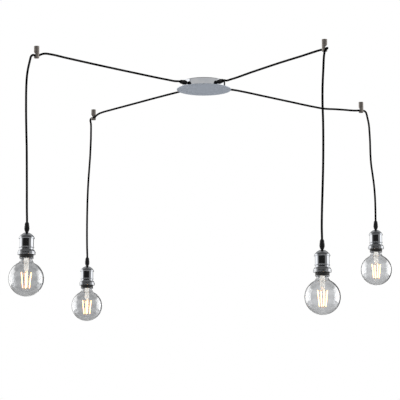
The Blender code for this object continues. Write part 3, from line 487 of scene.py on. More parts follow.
class LampPlace:
    # All the places of one lamp, worked out once
    def __init__(self, lamp):
        self.number = lamp + 1
        self.bearing = lampPlaces["glandBearings"][lamp]
        self.glandWay = plan(1, self.bearing)
        drop = level * -lampPlaces["glandHeight"]
        self.glandSeat = plan(lampPlaces["canopyRadius"], self.bearing) + drop
        self.glandEnd = self.glandSeat + self.glandWay * lampPlaces["glandLength"]
        self.hook = plan(lampPlaces["hookReaches"][lamp], lampPlaces["hookBearings"][lamp])
        self.out = (self.hook - Vector((self.glandEnd.x, self.glandEnd.y, 0))).normalized()
        self.aside = Vector((-self.out.y, self.out.x, 0))
        self.slotTurn = atan2(self.out.y, self.out.x) + radians(lampPlaces["slotTurns"][lamp])
        axis = self.hook + self.out * lampPlaces["outs"][lamp] + self.aside * lampPlaces["sides"][lamp]
        self.bulb = axis - level * lampPlaces["bulbDepths"][lamp]
        self.holder = self.bulb + level * lampPlaces["holderTop"]
        self.cordEnd = self.holder + level * lampPlaces["glandLength"]
        self.pocket = self.hook - level * lampPlaces["pocketHeight"]


lamps = [LampPlace(lamp) for lamp in range(len(lampPlaces["outs"]))]

# Making and placing pieces

# A corner's cut takes at most this share of a side. A side longer than holdFrom cuts gets a holding point
# at holdAt cuts.
roundingSizes = {"steps": 4, "most": 0.45, "holdFrom": 4, "holdAt": 1.5}


def addPiece(name, mesh, finish, body, replaced=(), extra=()):
    piece = bpy.data.objects.new(name, mesh)
    scene.collection.objects.link(piece)
    mesh.materials.clear()
    for label in (finish, *extra):
        mesh.materials.append(finishes[label])
    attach(piece, body)
    if replaced:
        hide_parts(*replaced)
    return piece


def placed(mesh, matrix):
    copied = mesh.copy()
    copied.transform(matrix)
    return copied


def addAtLamp(lamp, place, rows):
    # A row is the piece's name, its mesh, finish and body, the node that it replaces, and other finishes.
    # Names, bodies and nodes end in the lamp's number.
    for name, mesh, finish, body, node, *extra in rows:
        name, body, node = (f"{label}_{lamp.number}" if label else "" for label in (name, body, node))
        here = placed(mesh, Matrix.Translation(place))
        addPiece(name, here, finish, body, [node] if node else (), extra)


def finishedMesh(bm, name):
    bmesh.ops.remove_doubles(bm, verts=bm.verts, dist=weldReach)
    bmesh.ops.recalc_face_normals(bm, faces=bm.faces)
    mesh = bpy.data.meshes.new(name)
    bm.to_mesh(mesh)
    bm.free()
    mesh.shade_smooth()
    mesh.set_sharp_from_angle(angle=sharpEdge)
    return mesh


def turned(name, outline, sides, closed=False):
    # Spins an outline of (radius, height) round the Z axis. An open one starts and ends on the axis.
    bm = bmesh.new()
    points = [bm.verts.new((radius, 0, height)) for radius, height in outline]
    edges = [bm.edges.new(pair) for pair in zip(points, points[1:])]
    if closed:
        edges.append(bm.edges.new((points[-1], points[0])))
    bmesh.ops.spin(
        bm, geom=points + edges, axis=(0, 0, 1), cent=(0, 0, 0), angle=tau, steps=sides, use_merge=True
    )
    return finishedMesh(bm, name)


def rounded(corners, closed=False):
    # An outline whose corners are (radius, height, rounding). A holding point each side keeps flats flat.
    steps, holdFrom = roundingSizes["steps"], roundingSizes["holdFrom"]
    most, holdAt = roundingSizes["most"], roundingSizes["holdAt"]
    spots = [Vector(corner[:2]) for corner in corners]
    outline = []
    for index, corner in enumerate(corners):
        here = spots[index]
        inner = closed or 0 < index < len(corners) - 1
        if len(corner) < 3 or not inner:
            outline.append(tuple(here))
            continue
        before, after = spots[index - 1] - here, spots[(index + 1) % len(spots)] - here
        half = before.angle(after) / 2
        cut = min(corner[2] / tan(half), most * before.length, most * after.length)
        radius = cut * tan(half)
        back, ahead = before.normalized(), after.normalized()
        middle = here + (back + ahead).normalized() * (radius / sin(half))
        start, end = here + back * cut - middle, here + ahead * cut - middle
        turn = start.angle_signed(end)
        if before.length > holdFrom * cut:
            outline.append(tuple(here + back * cut * holdAt))
        for step in range(steps + 1):
            arm = start.copy()
            arm.rotate(Matrix.Rotation(-turn * step / steps, 2))
            outline.append(tuple(middle + arm))
        if after.length > holdFrom * cut:
            outline.append(tuple(here + ahead * cut * holdAt))
    return outline


def metres(rows):
    # Rows of millimetres in metres
    return [tuple(value / 1000 for value in row) for row in rows]


def turnedSolid(name, corners, sides):
    return turned(name, rounded(metres(corners)), sides)


def turnedRing(name, corners, sides):
    return turned(name, rounded(metres(corners), closed=True), sides, closed=True)


def smoothRun(points, steps):
    # A smooth run through (radius, height) points
    ends = [points[0], *points, points[-1]]
    run = []
    for a, b, c, d in zip(ends, ends[1:], ends[2:], ends[3:]):
        for step in range(steps):
            t = step / steps
            run.append(tuple(
                0.5 * (2 * q + (r - p) * t + (2 * p - 5 * q + 4 * r - s) * t * t
                       + (3 * q - p - 3 * r + s) * t ** 3)
                for p, q, r, s in zip(a, b, c, d)
            ))
    return [*run, tuple(points[-1])]


def rod(name, start, end, radius, sides):
    bm = bmesh.new()
    run = end - start
    place = Matrix.Translation((start + end) / 2) @ run.to_track_quat("Z", "Y").to_matrix().to_4x4()
    bmesh.ops.create_cone(
        bm, cap_ends=True, segments=sides, radius1=radius, radius2=radius, depth=run.length, matrix=place
    )
    return finishedMesh(bm, name)


def cutAway(name, base, others):
    # One mesh with the others cut out of it
    body = bpy.data.objects.new(name, base)
    scene.collection.objects.link(body)
    tools = []
    for other in others:
        tool = bpy.data.objects.new("cutter", other)
        scene.collection.objects.link(tool)
        tools.append(tool)
        step = body.modifiers.new("cut", "BOOLEAN")
        step.operation = "DIFFERENCE"
        step.solver = "EXACT"
        step.object = tool
    mesh = evaluatedMesh(body, name)
    for thing in (body, *tools):
        bpy.data.objects.remove(thing, do_unlink=True)
    mesh.set_sharp_from_angle(angle=sharpEdge)
    return mesh


# Cords

cordSizes = {
    "radius": 0.003,
    "lead": 0.005,  # straight run out of a gland
    "seated": 0.0077,  # how far an end goes into its gland
    "fineStep": 0.002,
    "spacing": 0.0012,
    "sides": 18,
    "sharp": 50.0,
    "closing": 0.25,  # of a turn, by which the last face's middle is past its corners that read 0
    "bendTo": 0.009,  # a length from the hook's pocket
    "giveLength": 0.060,  # a length below the pivot
}

# arm: share of the way from gland to hook, height. The rest: outwards of the hook, aside of it if at all,
# height. drop starts below the pivot.
cordRoutes = (
    {
        "arm": ((0.03, -14.6), (0.10, -15.6), (0.30, -16.1), (0.60, -15.8), (0.80, -14.9)),
        "over": (
            (-45, -14.3), (-32, -15.2), (-22, -17.6), (-13.5, -21.3), (-7.5, -24.6), (-2, -25.8), (3, -26),
            (8, -26), (9.2, -26), (12.1, -26.4), (15, -27.6), (17.5, -29.5), (19.4, -32), (20.6, -34.9),
            (22.6, -42), (25.3, -52), (28.8, -66),
        ),
        "drop": (
            (31.4, -80), (33.3, -98), (34.3, -125), (34.2, -160), (33.3, -200), (31.8, -240), (29.7, -285),
            (28.4, -335), (27.1, -395), (25.9, -455),
        ),
    },
    {
        "arm": ((0.04, -11.8), (0.10, -11.7), (0.30, -12.1), (0.60, -13.7), (0.80, -14.7)),
        "over": (
            (-45, -15.6), (-32, -16.6), (-21, -18.7), (-13.5, -21.5), (-7.5, -24.5), (-2, -25.8), (3, -26),
            (8, -26), (9.2, -26), (12.1, -0.2, -26.4), (15, -0.7, -27.5), (17.5, -1.5, -29.2),
            (19.4, -2.5, -31.4), (20.6, -3.8, -34.1), (21, -5.1, -37), (21, -6, -41.3), (20.8, -6.4, -47.5),
            (20.6, -6.4, -56), (20.5, -6.3, -66),
        ),
        "drop": (
            (20.6, -6.2, -90), (21, -5.5, -117), (21.5, -4.4, -148), (22.1, -2, -185), (23, 0.4, -225),
            (24, 1.9, -270), (24.8, 2.6, -330), (25.4, 2.2, -390), (25.6, 1, -440),
        ),
    },
    {
        "arm": ((0.03, -16.1), (0.09, -17.7), (0.30, -18.5), (0.60, -20.6), (0.80, -23.3)),
        "over": (
            (-45, -24.3), (-30, -24.7), (-18, -25.2), (-9.5, -25.6), (-3, -25.9), (3, -26), (8, -26),
            (9.2, -26), (12.1, -0.3, -26.2), (15, -1.3, -26.9), (17.5, -2.9, -28), (19.4, -4.9, -29.4),
            (20.6, -7.3, -31.1), (21, -9.9, -33), (21, -12.8, -35.9), (21, -14.5, -39.6),
            (20.9, -15.5, -44.5), (20.4, -16.6, -54), (19.9, -17.3, -66),
        ),
        "drop": (
            (19, -18, -88), (18.6, -19.4, -112), (18.2, -20.6, -140), (17.9, -20.9, -178),
            (17.6, -19.5, -230), (17.3, -19.3, -280), (17, -20.2, -340), (16.5, -22.5, -408),
            (15.7, -24.8, -470), (15, -25.5, -515),
        ),
    },
    {
        "arm": (
            (0.04, -13.2), (0.10, -14.7), (0.25, -20.1), (0.45, -27.3), (0.62, -33.3), (0.71, -35.2),
            (0.80, -32.5),
        ),
        "over": (
            (-60, -30.8), (-40, -30.1), (-24, -29.1), (-14, -28), (-7.5, -26.8), (-2, -26.2), (3, -26),
            (8, -26), (9.2, -26), (12.1, -26.4), (15, -27.6), (17.5, -29.5), (19.4, -32), (20.6, -34.9),
            (23, -43.2), (25.7, -53.5), (28.6, -66),
        ),
        "drop": (
            (30.9, -90), (32.5, -120), (33.3, -160), (35.4, -192), (40, -222), (44.9, -255), (48, -290),
            (49.2, -330),
        ),
    },
)


def smoothCurve(points):
    # Cubics through the points, each leaning along its neighbours, and where each point is in the fine run
    leans = []
    for before, here, after in zip([None, *points], points, [*points[1:], None]):
        if before is None or after is None:
            leans.append(((after or here) - (before or here)).normalized())
            continue
        back, ahead = here - before, after - here
        lean = back.normalized() * ahead.length + ahead.normalized() * back.length
        leans.append(lean / (back.length + ahead.length))
    fine, marks = [points[0]], [0]
    for start, end, leanIn, leanOut in zip(points, points[1:], leans, leans[1:]):
        run = (end - start).length
        steps = ceil(run / cordSizes["fineStep"])
        for step in range(1, steps + 1):
            t = step / steps
            weight = t * t * (3 - 2 * t)
            lean = leanIn * (t * (1 - t) ** 2) - leanOut * (t * t * (1 - t))
            fine.append(start * (1 - weight) + end * weight + lean * run)
        marks.append(len(fine) - 1)
    return fine, marks


def cordLine(lamp):
    # The centre line from the canopy gland to the pivot below the hook, and on to the holder's gland
    route = cordRoutes[lamp.number - 1]
    seated, lead = cordSizes["seated"], cordSizes["lead"]
    points = [lamp.glandEnd - lamp.glandWay * seated, lamp.glandEnd, lamp.glandEnd + lamp.glandWay * lead]
    flatEnd = Vector((lamp.glandEnd.x, lamp.glandEnd.y, 0))
    points += [flatEnd.lerp(lamp.hook, share) + level * (height / 1000) for share, height in route["arm"]]
    pivot = len(points) + len(route["over"]) - 1
    for ahead, *aside, height in metres([*route["over"], *route["drop"]]):
        points.append(lamp.hook + lamp.out * ahead + lamp.aside * sum(aside) + level * height)
    points += [lamp.cordEnd + level * lead, lamp.cordEnd, lamp.cordEnd - level * seated]
    fine, marks = smoothCurve(points)
    return fine[: marks[pivot] + 1], fine[marks[pivot] :]


def runLength(points):
    return sum((after - here).length for here, after in zip(points, points[1:]))


def lineMesh(name, lines):
    mesh = bpy.data.meshes.new(name)
    points, edges = [], []
    for line in lines:
        first = len(points)
        points += [tuple(point) for point in line]
        edges += [(first + step, first + step + 1) for step in range(len(line) - 1)]
    mesh.from_pydata(points, edges, [])
    return mesh


def stored(graph, shape, name, value, **settings):
    values = {"Geometry": shape, "Name": name, "Value": value}
    return graph.add("GeometryNodeStoreNamedAttribute", values, **settings)


def tubeRing(graph):
    values = {"Resolution": graph.given("Sides"), "Radius": graph.given("Radius")}
    return graph.add("GeometryNodeCurvePrimitiveCircle", values)


def makeCordTree():
    # A round tube along a line, with a UV map: round the cord, and metres along it
    graph = newTree("cordTube", "Spacing", "Radius", "Sides")
    line = graph.add("GeometryNodeMeshToCurve", {"Mesh": graph.given("Shape")})
    spaced = {"Curve": line, "Length": graph.given("Spacing")}
    line = graph.add("GeometryNodeResampleCurve", spaced, mode="LENGTH")
    line = stored(graph, line, "along", graph.add("GeometryNodeSplineParameter", output="Length"))
    ring = stored(graph, tubeRing(graph), "around", graph.add("GeometryNodeSplineParameter", output="Factor"))
    tube = graph.add("GeometryNodeCurveToMesh", {"Curve": line, "Profile Curve": ring, "Fill Caps": True})
    around = graph.add("GeometryNodeInputNamedAttribute", {"Name": "around"})
    lengthwise = graph.add("GeometryNodeInputNamedAttribute", {"Name": "along"})
    # The corners where the ring closes read 0, and take 1 when their face's middle is well past them.
    faceMiddle = graph.add("GeometryNodeFieldOnDomain", {"Value": around}, domain="FACE")
    wrapped = (faceMiddle - around) > cordSizes["closing"]
    place = graph.combined(around + wrapped, lengthwise, 0.0)
    tube = stored(graph, tube, "UVMap", place, data_type="FLOAT2", domain="CORNER")
    return closeTree(graph, tube)


def addCord(name, tree, points, replaced):
    sizes = {
        "Spacing": cordSizes["spacing"],
        "Radius": cordSizes["radius"],
        "Sides": cordSizes["sides"],
        "Finish": finishes["blackTextile"],
    }
    mesh = grownMesh(name, tree, lineMesh(name, [points]), sizes)
    mesh.set_sharp_from_angle(angle=radians(cordSizes["sharp"]))
    cord = bpy.data.objects.new(name, mesh)
    scene.collection.objects.link(cord)
    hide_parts(*replaced)
    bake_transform(cord)
    runLength(points)


def addCords():
    tree = makeCordTree()
    for lamp in lamps:
        n = lamp.number
        arm, drop = cordLine(lamp)
        addCord(
            f"armCord_{n}", tree, arm,
            (f"arm_cord_{n}", f"cord_link_{n}")
        )
        lower = drop[0] - level * cordSizes["giveLength"]
        addCord(
            f"dropCord_{n}", tree, drop,
            (f"drop_cord_{n}",)
        )
        toPivot, below = runLength(arm), runLength(drop)
        print(f"cord {n}: {toPivot + below:.3f} m, {toPivot:.3f} m of it to the pivot")


addCords()

# Trees that repeat or wind a shape

threadGrain = {"columns": 97, "wall": 0.0005, "seam": 0.00001}
rodEnd = 24.0  # the higher, the shorter a rod's rounded end


def makeThreadTree():
    # A band with a right-handed screw thread, faded out at both ends
    graph = newTree("screwThread", "Radius", "Depth", "Pitch", "Bottom", "Height", "Fade", "Columns", "Rows")
    counts = {"Vertices X": graph.given("Columns"), "Vertices Y": graph.given("Rows")}
    sheet = graph.add("GeometryNodeMeshGrid", {"Size X": 1.0, "Size Y": 1.0, **counts}, "Mesh")
    across = graph.add("ShaderNodeSeparateXYZ", {"Vector": graph.add("GeometryNodeInputPosition")}, "X")
    turn = (across + 0.5) * tau
    rise = (across.part("Y") + 0.5) * graph.given("Height")
    nearEnd = graph.maths("MINIMUM", rise, graph.given("Height") - rise) / graph.given("Fade")
    fade = graph.maths("MINIMUM", nearEnd, 1.0)
    wave = graph.maths("SINE", rise / graph.given("Pitch") * tau - turn) * 0.5 + 0.5
    reach = graph.given("Radius") - graph.given("Depth") * (1.0 - wave * fade)
    x, y = reach * graph.maths("COSINE", turn), reach * graph.maths("SINE", turn)
    place = graph.combined(x, y, rise + graph.given("Bottom"))
    band = graph.add("GeometryNodeSetPosition", {"Geometry": sheet, "Position": place})
    welded = {"Geometry": band, "Distance": threadGrain["seam"]}
    return closeTree(graph, graph.add("GeometryNodeMergeByDistance", welded))


def makeAroundTree():
    # Rods along lines, repeated round the Z axis. Taper 1 rounds their ends.
    graph = newTree("rodsAround", "Count", "Radius", "Sides", "Points", "First Turn", "Taper")
    line = graph.add("GeometryNodeMeshToCurve", {"Mesh": graph.given("Shape")})
    counted = {"Curve": line, "Count": graph.given("Points")}
    line = graph.add("GeometryNodeResampleCurve", counted, mode="COUNT")
    share = graph.add("GeometryNodeSplineParameter", output="Factor")
    fromMiddle = graph.maths("ABSOLUTE", share * 2.0 - 1.0)
    narrowed = graph.maths("SQRT", 1.0 - graph.given("Taper") * graph.maths("POWER", fromMiddle, rodEnd))
    tube = {"Curve": line, "Profile Curve": tubeRing(graph), "Scale": narrowed, "Fill Caps": True}
    rods = graph.add("GeometryNodeCurveToMesh", tube)
    spots = graph.add("GeometryNodePoints", {"Count": graph.given("Count")})
    turn = graph.add("GeometryNodeInputIndex") / graph.given("Count") * tau + graph.given("First Turn")
    rotation = graph.add("FunctionNodeEulerToRotation", {"Euler": graph.combined(0.0, 0.0, turn)})
    repeated = {"Points": spots, "Instance": rods, "Rotation": rotation}
    return closeTree(graph, graph.add("GeometryNodeInstanceOnPoints", repeated))


threadTree = makeThreadTree()
aroundTree = makeAroundTree()


def threadMesh(name, s, finish):
    # The thread that a dictionary of sizes gives, as a thin wall
    mesh = grownMesh(name, threadTree, bpy.data.meshes.new(name), {
        "Radius": s["threadRadius"],
        "Depth": s["threadDepth"],
        "Pitch": s["threadPitch"],
        "Bottom": s["threadBottom"],
        "Height": s["threadTop"] - s["threadBottom"],
        "Fade": s["threadFade"],
        "Columns": threadGrain["columns"],
        "Rows": s["threadRows"],
        "Finish": finishes[finish],
    })
    bm = bmesh.new()
    bm.from_mesh(mesh)
    bmesh.ops.solidify(bm, geom=bm.faces, thickness=threadGrain["wall"])
    bmesh.ops.recalc_face_normals(bm, faces=bm.faces)
    bm.to_mesh(mesh)
    bm.free()
    return mesh


def joined(name, meshes):
    # One mesh from several, each keeping its own material number
    bm = bmesh.new()
    for number, mesh in enumerate(meshes):
        first = len(bm.faces)
        bm.from_mesh(mesh)
        bm.faces.ensure_lookup_table()
        for face in bm.faces[first:]:
            face.material_index = number
    mesh = bpy.data.meshes.new(name)
    bm.to_mesh(mesh)
    bm.free()
    mesh.shade_smooth()
    mesh.set_sharp_from_angle(angle=sharpEdge)
    return mesh


# Canopy. Outlines are (radius, height, rounding), here and below.

canopySizes = {
    "drum": (  # down the outside, and up the inside to the turned-in flange
        (63, 0, 2.4), (63, -22.7, 0.7), (61.5, -22.7, 0.3), (61.5, -1.5, 1), (53.5, -1.5, 0.4),
        (53.5, 0, 0.4),
    ),
    "disc": (  # the stud's hole, the boss round it, and the plate
        (0, -19.3), (3.3, -19.3), (3.3, -9.5, 0.4), (6, -9.5, 0.5), (6, -23, 0.8), (80, -23, 0.7),
        (80, -25, 0.7), (0, -25),
    ),
    "sides": 160,
    "hole": 0.0033,
    "holeFrom": 0.0595,
    "holeTo": 0.0650,
    "holeSides": 32,
}


def addCanopy():
    s = canopySizes
    down = level * -lampPlaces["glandHeight"]
    holes = []
    for lamp in lamps:
        ends = (plan(s[end], lamp.bearing) + down for end in ("holeFrom", "holeTo"))
        holes.append(rod("glandHole", *ends, s["hole"], s["holeSides"]))
    drum = cutAway("canopyDrum", turnedRing("canopyDrum", s["drum"], s["sides"]), holes)
    addPiece("canopyDrum", drum, "polishedMetal", "canopy", ["canopy_body"])
    disc = turnedSolid("canopyDisc", s["disc"], s["sides"])
    addPiece("canopyDisc", disc, "satinGrey", "canopy", ["canopy_disc"])
    for node, finish in (("ceiling_bracket", "zincSteel"), ("terminal_block", "whitePlastic")):
        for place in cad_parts[node].material_slots:
            place.material = finishes[finish]
    print("canopy: made")


addCanopy()

# Cord glands, with z = 0 at their seat

glandSizes = {
    "swell": ((0.0029, 0.0003), (0.0056, 0.0048), (0.0070, 0.0103), (0.0067, 0.0163), (0.0056, 0.0245),
              (0.0047, 0.0275)),
    "swellSteps": 14,
    "neckRadius": 0.0026,
    "neckBottom": -0.0021,
    "nutRadius": 0.005,
    "nutBottom": -0.0051,
    "lipOuter": 0.0042,
    "lipInner": 0.0036,
    "lipDepth": 0.0004,
    "bore": 0.0033,
    "boreEnd": 0.020,
    "grooves": (0.0075, 0.0135, 0.0195),
    "grooveDepth": 0.0004,
    "grooveWidth": 0.0011,
    "sides": 48,
}


def glandMesh():
    s = glandSizes
    length = lampPlaces["glandLength"]
    grooved = []
    for radius, height in smoothRun(s["swell"], s["swellSteps"]):
        for middle in s["grooves"]:
            away = abs(height - middle) / s["grooveWidth"]
            radius -= s["grooveDepth"] * max(0.0, 1 - away * away)
        grooved.append((radius, height))
    neck, nut, bore = s["neckRadius"], s["nutRadius"], s["bore"]
    return turned("cordGland", [
        (0, s["nutBottom"]), (nut, s["nutBottom"]), (nut, s["neckBottom"]), (neck, s["neckBottom"]),
        (neck, s["swell"][0][1]), *grooved, (s["lipOuter"], length), (s["lipInner"], length),
        (bore, length - s["lipDepth"]), (bore, s["boreEnd"]), (0, s["boreEnd"]),
    ], s["sides"])


def addGlands():
    mesh = glandMesh()
    for lamp in lamps:
        outwards = Matrix.Rotation(radians(lamp.bearing), 4, "Z") @ Matrix.Rotation(pi / 2, 4, "Y")
        laid = placed(mesh, Matrix.Translation(lamp.glandSeat) @ outwards)
        n = lamp.number
        addPiece(f"canopyGland_{n}", laid, "blackPlastic", "canopy", [f"canopy_gland_{n}"])
        addAtLamp(lamp, lamp.holder, [("holderGland", mesh, "blackPlastic", "pendant", "holder_gland")])
    print("cord glands: 8 made")


addGlands()

# Ceiling hooks

hookSizes = {
    "radius": 0.00725,
    "length": 0.033,
    "topEdge": 0.0003,
    "edge": 0.0009,
    "sides": 72,
    "slotTop": 0.0127,
    "slotSlope": 45.0,
    "slotLip": 0.0250,
    "pocket": 0.0036,
    "pocketArc": 120.0,
    "pocketSteps": 16,
    "overrun": 0.003,
    "ease": 0.00025,
    "easeSteps": 2,
}


def hookSlot():
    # The slot's section in x and height, with its mouth at +X, run right across the post
    s = hookSizes
    pocket, reach, depth = s["pocket"], s["radius"] + s["overrun"], lampPlaces["pocketHeight"]
    rise = tan(radians(s["slotSlope"]))
    tangent = radians(90 + s["slotSlope"])
    touch = (pocket * cos(tangent), pocket * sin(tangent) - depth)
    outline = [(reach, s["overrun"] * rise - s["slotTop"])]
    outline.append((touch[0], max(touch[1], -s["slotTop"] - rise * (s["radius"] - touch[0]))))
    for step in range(s["pocketSteps"] + 1):
        turn = radians(180 + s["pocketArc"] * step / s["pocketSteps"])
        outline.append((pocket * cos(turn), pocket * sin(turn) - depth))
    outline.append((reach, -s["slotLip"]))
    bm = bmesh.new()
    face = bm.faces.new([bm.verts.new((x, -reach, z)) for x, z in outline])
    grown = bmesh.ops.extrude_face_region(bm, geom=[face])["geom"]
    moved = [item for item in grown if isinstance(item, bmesh.types.BMVert)]
    bmesh.ops.translate(bm, verts=moved, vec=(0, 2 * reach, 0))
    return finishedMesh(bm, "hookSlot")


def addHooks():
    s = hookSizes
    radius, end = s["radius"], -s["length"]
    outline = rounded([(0, 0), (radius, 0, s["topEdge"]), (radius, end, s["edge"]), (0, end)])
    post = turned("ceilingHook", outline, s["sides"])
    mesh = cutAway("ceilingHook", post, [hookSlot()])
    for lamp in lamps:
        n = lamp.number
        here = placed(mesh, Matrix.Translation(lamp.hook) @ Matrix.Rotation(lamp.slotTurn, 4, "Z"))
        hook = addPiece(f"ceilingHook_{n}", here, "satinNickel", "canopy", [f"ceiling_hook_{n}"])
        ease = hook.modifiers.new("ease", "BEVEL")
        ease.width = s["ease"]
        ease.segments = s["easeSteps"]
        ease.limit_method = "ANGLE"
        ease.angle_limit = sharpEdge
        ease.harden_normals = True
    print("ceiling hooks: 4 made")


addHooks()

# Lampholders, with z = 0 at their top

holderSizes = {
    "sides": 112,
    "cap": (  # from the cord's hole over the dome to the rim, then back inside
        (3.3, 0, 0.3), (7.2, 0, 1.2), (10.5, -1.9, 3), (15.2, -5.4, 5), (18.6, -9, 5), (20.6, -12.4, 4),
        (21.5, -15.2, 2), (21.5, -16, 0.6), (19.3, -16, 0.3), (19.3, -11.8, 0.2), (17.9, -11.8, 0.2),
        (8, -2.3, 1), (5.6, -1.6, 0.4), (3.3, -1.6, 0.2),
    ),
    "sleeve": (  # down the outside: bead, groove and the thread's core, then up round the seat
        (17.4, -12.1), (19, -12.1, 0.3), (19, -38, 0.4), (20.3, -38.6, 0.6), (20.3, -40.4, 0.6),
        (18.3, -41.2, 0.5), (18.3, -45.4, 0.4), (19, -46, 0.3), (19, -47.4, 0.2), (18.5, -47.8),
        (18.5, -68.7), (18.8, -69, 0.2), (18.8, -70, 0.5), (16.2, -70, 0.5), (16.2, -62.1, 0.2),
        (17.4, -62.1),
    ),
    "threadRadius": 0.019,
    "threadPitch": 0.0025,
    "threadDepth": 0.0004,
    "threadBottom": -0.0690,
    "threadTop": -0.0475,
    "threadFade": 0.0012,
    "threadRows": 105,
    "ring": (  # from its top over the shoulder, round the groove to the bottom
        (19.3, -46.3, 0.2), (20.6, -46.3, 0.6), (23.3, -50.9, 1.2), (24, -51.8, 0.8), (24, -54.8, 0.4),
        (23.5, -55.2, 0.3), (23.5, -56, 0.3), (24, -56.4, 0.4), (24, -59.3, 0.9), (19.3, -59.3, 0.4),
    ),
    "insert": (  # down the outside from the middle of its top, and up the socket's bore
        (0, -24.2), (10, -24.2, 0.8), (10, -28.2, 0.6), (17.1, -28.2, 0.8), (17.1, -61.8, 0.5),
        (13.9, -61.8, 0.6), (13.9, -33.2, 0.4), (0, -33.2),
    ),
}


def addHolders():
    s = holderSizes
    cap, sleeve, ring = (turnedRing(label, s[label], s["sides"]) for label in ("cap", "sleeve", "ring"))
    thread = threadMesh("sleeveThread", s, "darkInsert")
    insert = turnedSolid("socketInsert", s["insert"], s["sides"])
    for lamp in lamps:
        addAtLamp(lamp, lamp.holder, [
            ("holderCap", cap, "polishedMetal", "pendant", "holder_cap"),
            ("holderSleeve", sleeve, "polishedMetal", "pendant", "holder_sleeve"),
            ("sleeveThread", thread, "darkInsert", "pendant", None),
            ("holderRing", ring, "polishedMetal", "ring", "holder_ring"),
            ("socketInsert", insert, "darkInsert", "pendant", "socket_insert"),
        ])
    print("lampholders: 4 made")


addHolders()

# Bulbs, with z = 0 at their middle

bulbSizes = {
    "radius": 0.0475,
    "wall": 0.001,
    "sides": 96,
    "rings": 40,
    "neckAngle": 28.0,
    "neckRadius": 0.0134,
    "rim": 0.0632,
    "spigot": 0.0105,
    "spigotTop": 0.0717,
    "leanOff": 0.0050,  # handles of the curve from the sphere into the neck
    "leanOn": 0.0100,
    "neckSteps": 14,
    "cap": (  # a ring outside the glass neck, up the thread's core to the top and back inside
        (11.2, 63.5, 0.2), (13.2, 63.5, 0.4), (12.1, 65.2, 0.3), (12.1, 82.9, 0.6), (8.6, 85, 0.4), (6.5, 85),
        (11.2, 80.7, 0.4),
    ),
    "threadRadius": 0.0132,
    "threadDepth": 0.0011,
    "threadPitch": 0.00363,
    "threadBottom": 0.0652,
    "threadTop": 0.0829,
    "threadFade": 0.0030,
    "threadRows": 73,
    "collar": (  # the dark ring that insulates the end contact
        (0, 82.8), (6.1, 82.8, 0.3), (6.1, 85.3), (8.4, 85.3, 0.3), (4.2, 88.5, 0.3), (0, 88.5),
    ),
    "tip": (  # the soldered end contact
        (0, 88.1), (4.4, 88.1, 0.2), (4.4, 89.4, 0.6), (2.42, 90, 0.8), (0, 90),
    ),
    "contactSides": 64,
}


def neckCurve(start, slope, end, leanOff, leanOn, steps):
    # A curve off the sphere along its slope that comes in upright at the neck
    first = (start[0] + slope[0] * leanOff, start[1] + slope[1] * leanOff)
    last = (end[0], end[1] - leanOn)
    points = []
    for step in range(1, steps):
        t = step / steps
        a, b, c, d = (1 - t) ** 3, 3 * t * (1 - t) ** 2, 3 * t * t * (1 - t), t ** 3
        points.append(tuple(a * p + b * q + c * r + d * w for p, q, r, w in zip(start, first, last, end)))
    return points


def glassSide(radius, neckRadius, rim):
    # From the bottom of the sphere up to the end of the neck
    s = bulbSizes
    last = pi - radians(s["neckAngle"])
    arc = []
    for step in range(s["rings"] + 1):
        turn = last * step / s["rings"]
        arc.append((radius * sin(turn), -radius * cos(turn)))
    slope = (cos(last), sin(last))
    return arc + neckCurve(arc[-1], slope, (neckRadius, rim), s["leanOff"], s["leanOn"], s["neckSteps"])


def globeMesh():
    s = bulbSizes
    radius, neck, rim, wall = s["radius"], s["neckRadius"], s["rim"], s["wall"]
    spigot, top = s["spigot"], s["spigotTop"]
    inside = glassSide(radius - wall, neck - wall, rim - wall)
    return turned("bulbGlobe", [
        *glassSide(radius, neck, rim), (neck, rim), (spigot, rim), (spigot, top), (spigot - wall, top),
        (spigot - wall, rim), (neck - wall, rim - wall), *reversed(inside),
    ], s["sides"])


stemSizes = {
    "glass": (  # the flared tube, pressed shut round the wires at its lower end
        (8.4, 70, 0.2), (9.2, 70, 0.2), (9.2, 67, 2), (6.8, 58, 4), (6.8, 26, 4), (3.5, 19, 1.2),
        (0.4, 18, 0.4), (0.4, 29, 0.3), (6, 31, 1.5), (6, 58, 4), (8.4, 67, 2),
    ),
    "glassSides": 64,
    "tube": (  # the thin closed tube inside it
        (0, 31.5), (1.9, 31.5, 0.8), (1.9, 68, 0.5), (1.3, 68, 0.2), (1.3, 33, 0.3), (0, 33),
    ),
    "tubeSides": 32,
    "filaments": 4,
    "firstTurn": 14.0,
    "filamentTop": (0.0133, 0.0175),
    "filamentBottom": (0.0088, -0.0255),
    "filamentRadius": 0.0011,
    "filamentSides": 16,
    "points": 40,
    "wire": ((0.0018, 0.0220), (0.0030, 0.0175), (0.0080, 0.0165), (0.0130, 0.0170)),  # stem to filament
    "wireRadius": 0.00035,
    "wireSides": 10,
    "wireSteps": 8,
    "hold": 0.001,  # how far a wire runs along its filament
    "inwards": 0.0001,
    "ringRadius": 0.0085,
    "ringHeight": -0.0270,
    "ringSides": 48,
}


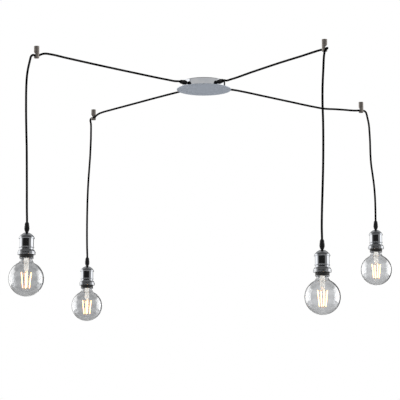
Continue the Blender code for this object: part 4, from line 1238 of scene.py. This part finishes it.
def repeatedRods(name, lines, radius, sides, taper, finish):
    # Rods along lines of (reach, height), once for each filament
    s = stemSizes
    lines = [[(reach, 0, height) for reach, height in line] for line in lines]
    return grownMesh(name, aroundTree, lineMesh(name, lines), {
        "Count": s["filaments"],
        "First Turn": radians(s["firstTurn"]),
        "Radius": radius,
        "Sides": sides,
        "Points": s["points"],
        "Taper": taper,
        "Finish": finishes[finish],
    })


def filamentMeshes():
    s = stemSizes
    top, bottom, wire, sides = s["filamentTop"], s["filamentBottom"], s["wireRadius"], s["wireSides"]
    radius, strip = s["filamentRadius"], (bottom, top)
    strips = repeatedRods("filaments", [strip], radius, s["filamentSides"], 1.0, "ledFilament")
    upper = smoothRun([*s["wire"], (top[0], top[1] - s["hold"])], s["wireSteps"])
    lower = [(bottom[0], bottom[1] + s["hold"]), (bottom[0] - s["inwards"], s["ringHeight"])]
    wires = repeatedRods("filamentWires", [upper, lower], wire, sides, 0.0, "filamentWire")
    turns = [tau * step / sides for step in range(sides)]
    circle = [(s["ringRadius"] + wire * cos(turn), s["ringHeight"] + wire * sin(turn)) for turn in turns]
    return strips, wires, turned("filamentRing", circle, s["ringSides"], closed=True)


def addBulbs():
    s = bulbSizes
    globe, capThread = globeMesh(), threadMesh("capThread", s, "nickelCap")
    cap = turnedRing("bulbCap", s["cap"], s["sides"])
    ends = [turnedSolid(end, s[end], s["contactSides"]) for end in ("tip", "collar")]
    contact = joined("bulbContact", ends)
    stem = turnedRing("bulbStem", stemSizes["glass"], stemSizes["glassSides"])
    tube = turnedSolid("stemTube", stemSizes["tube"], stemSizes["tubeSides"])
    strips, wires, ring = filamentMeshes()
    for lamp in lamps:
        addAtLamp(lamp, lamp.bulb, [
            ("bulbGlobe", globe, "clearGlass", "bulb", "bulb_globe"),
            ("bulbCap", cap, "nickelCap", "bulb", "bulb_cap"),
            ("capThread", capThread, "nickelCap", "bulb", None),
            ("bulbContact", contact, "contactMetal", "bulb_tip", "bulb_contact", "darkInsert"),
            # the stem and its inner tube take the painted glow
            ("bulbStem", stem, "stemGlassPaintedGlow", "bulb", "bulb_stem"),
            ("stemTube", tube, "stemGlassPaintedGlow", "bulb", None),
            ("filaments", strips, "ledFilament", "bulb", None),
            ("filamentWires", wires, "filamentWire", "bulb", None),
            ("filamentRing", ring, "filamentWire", "bulb", None),
        ])
    print("bulbs: 4 made")


addBulbs()
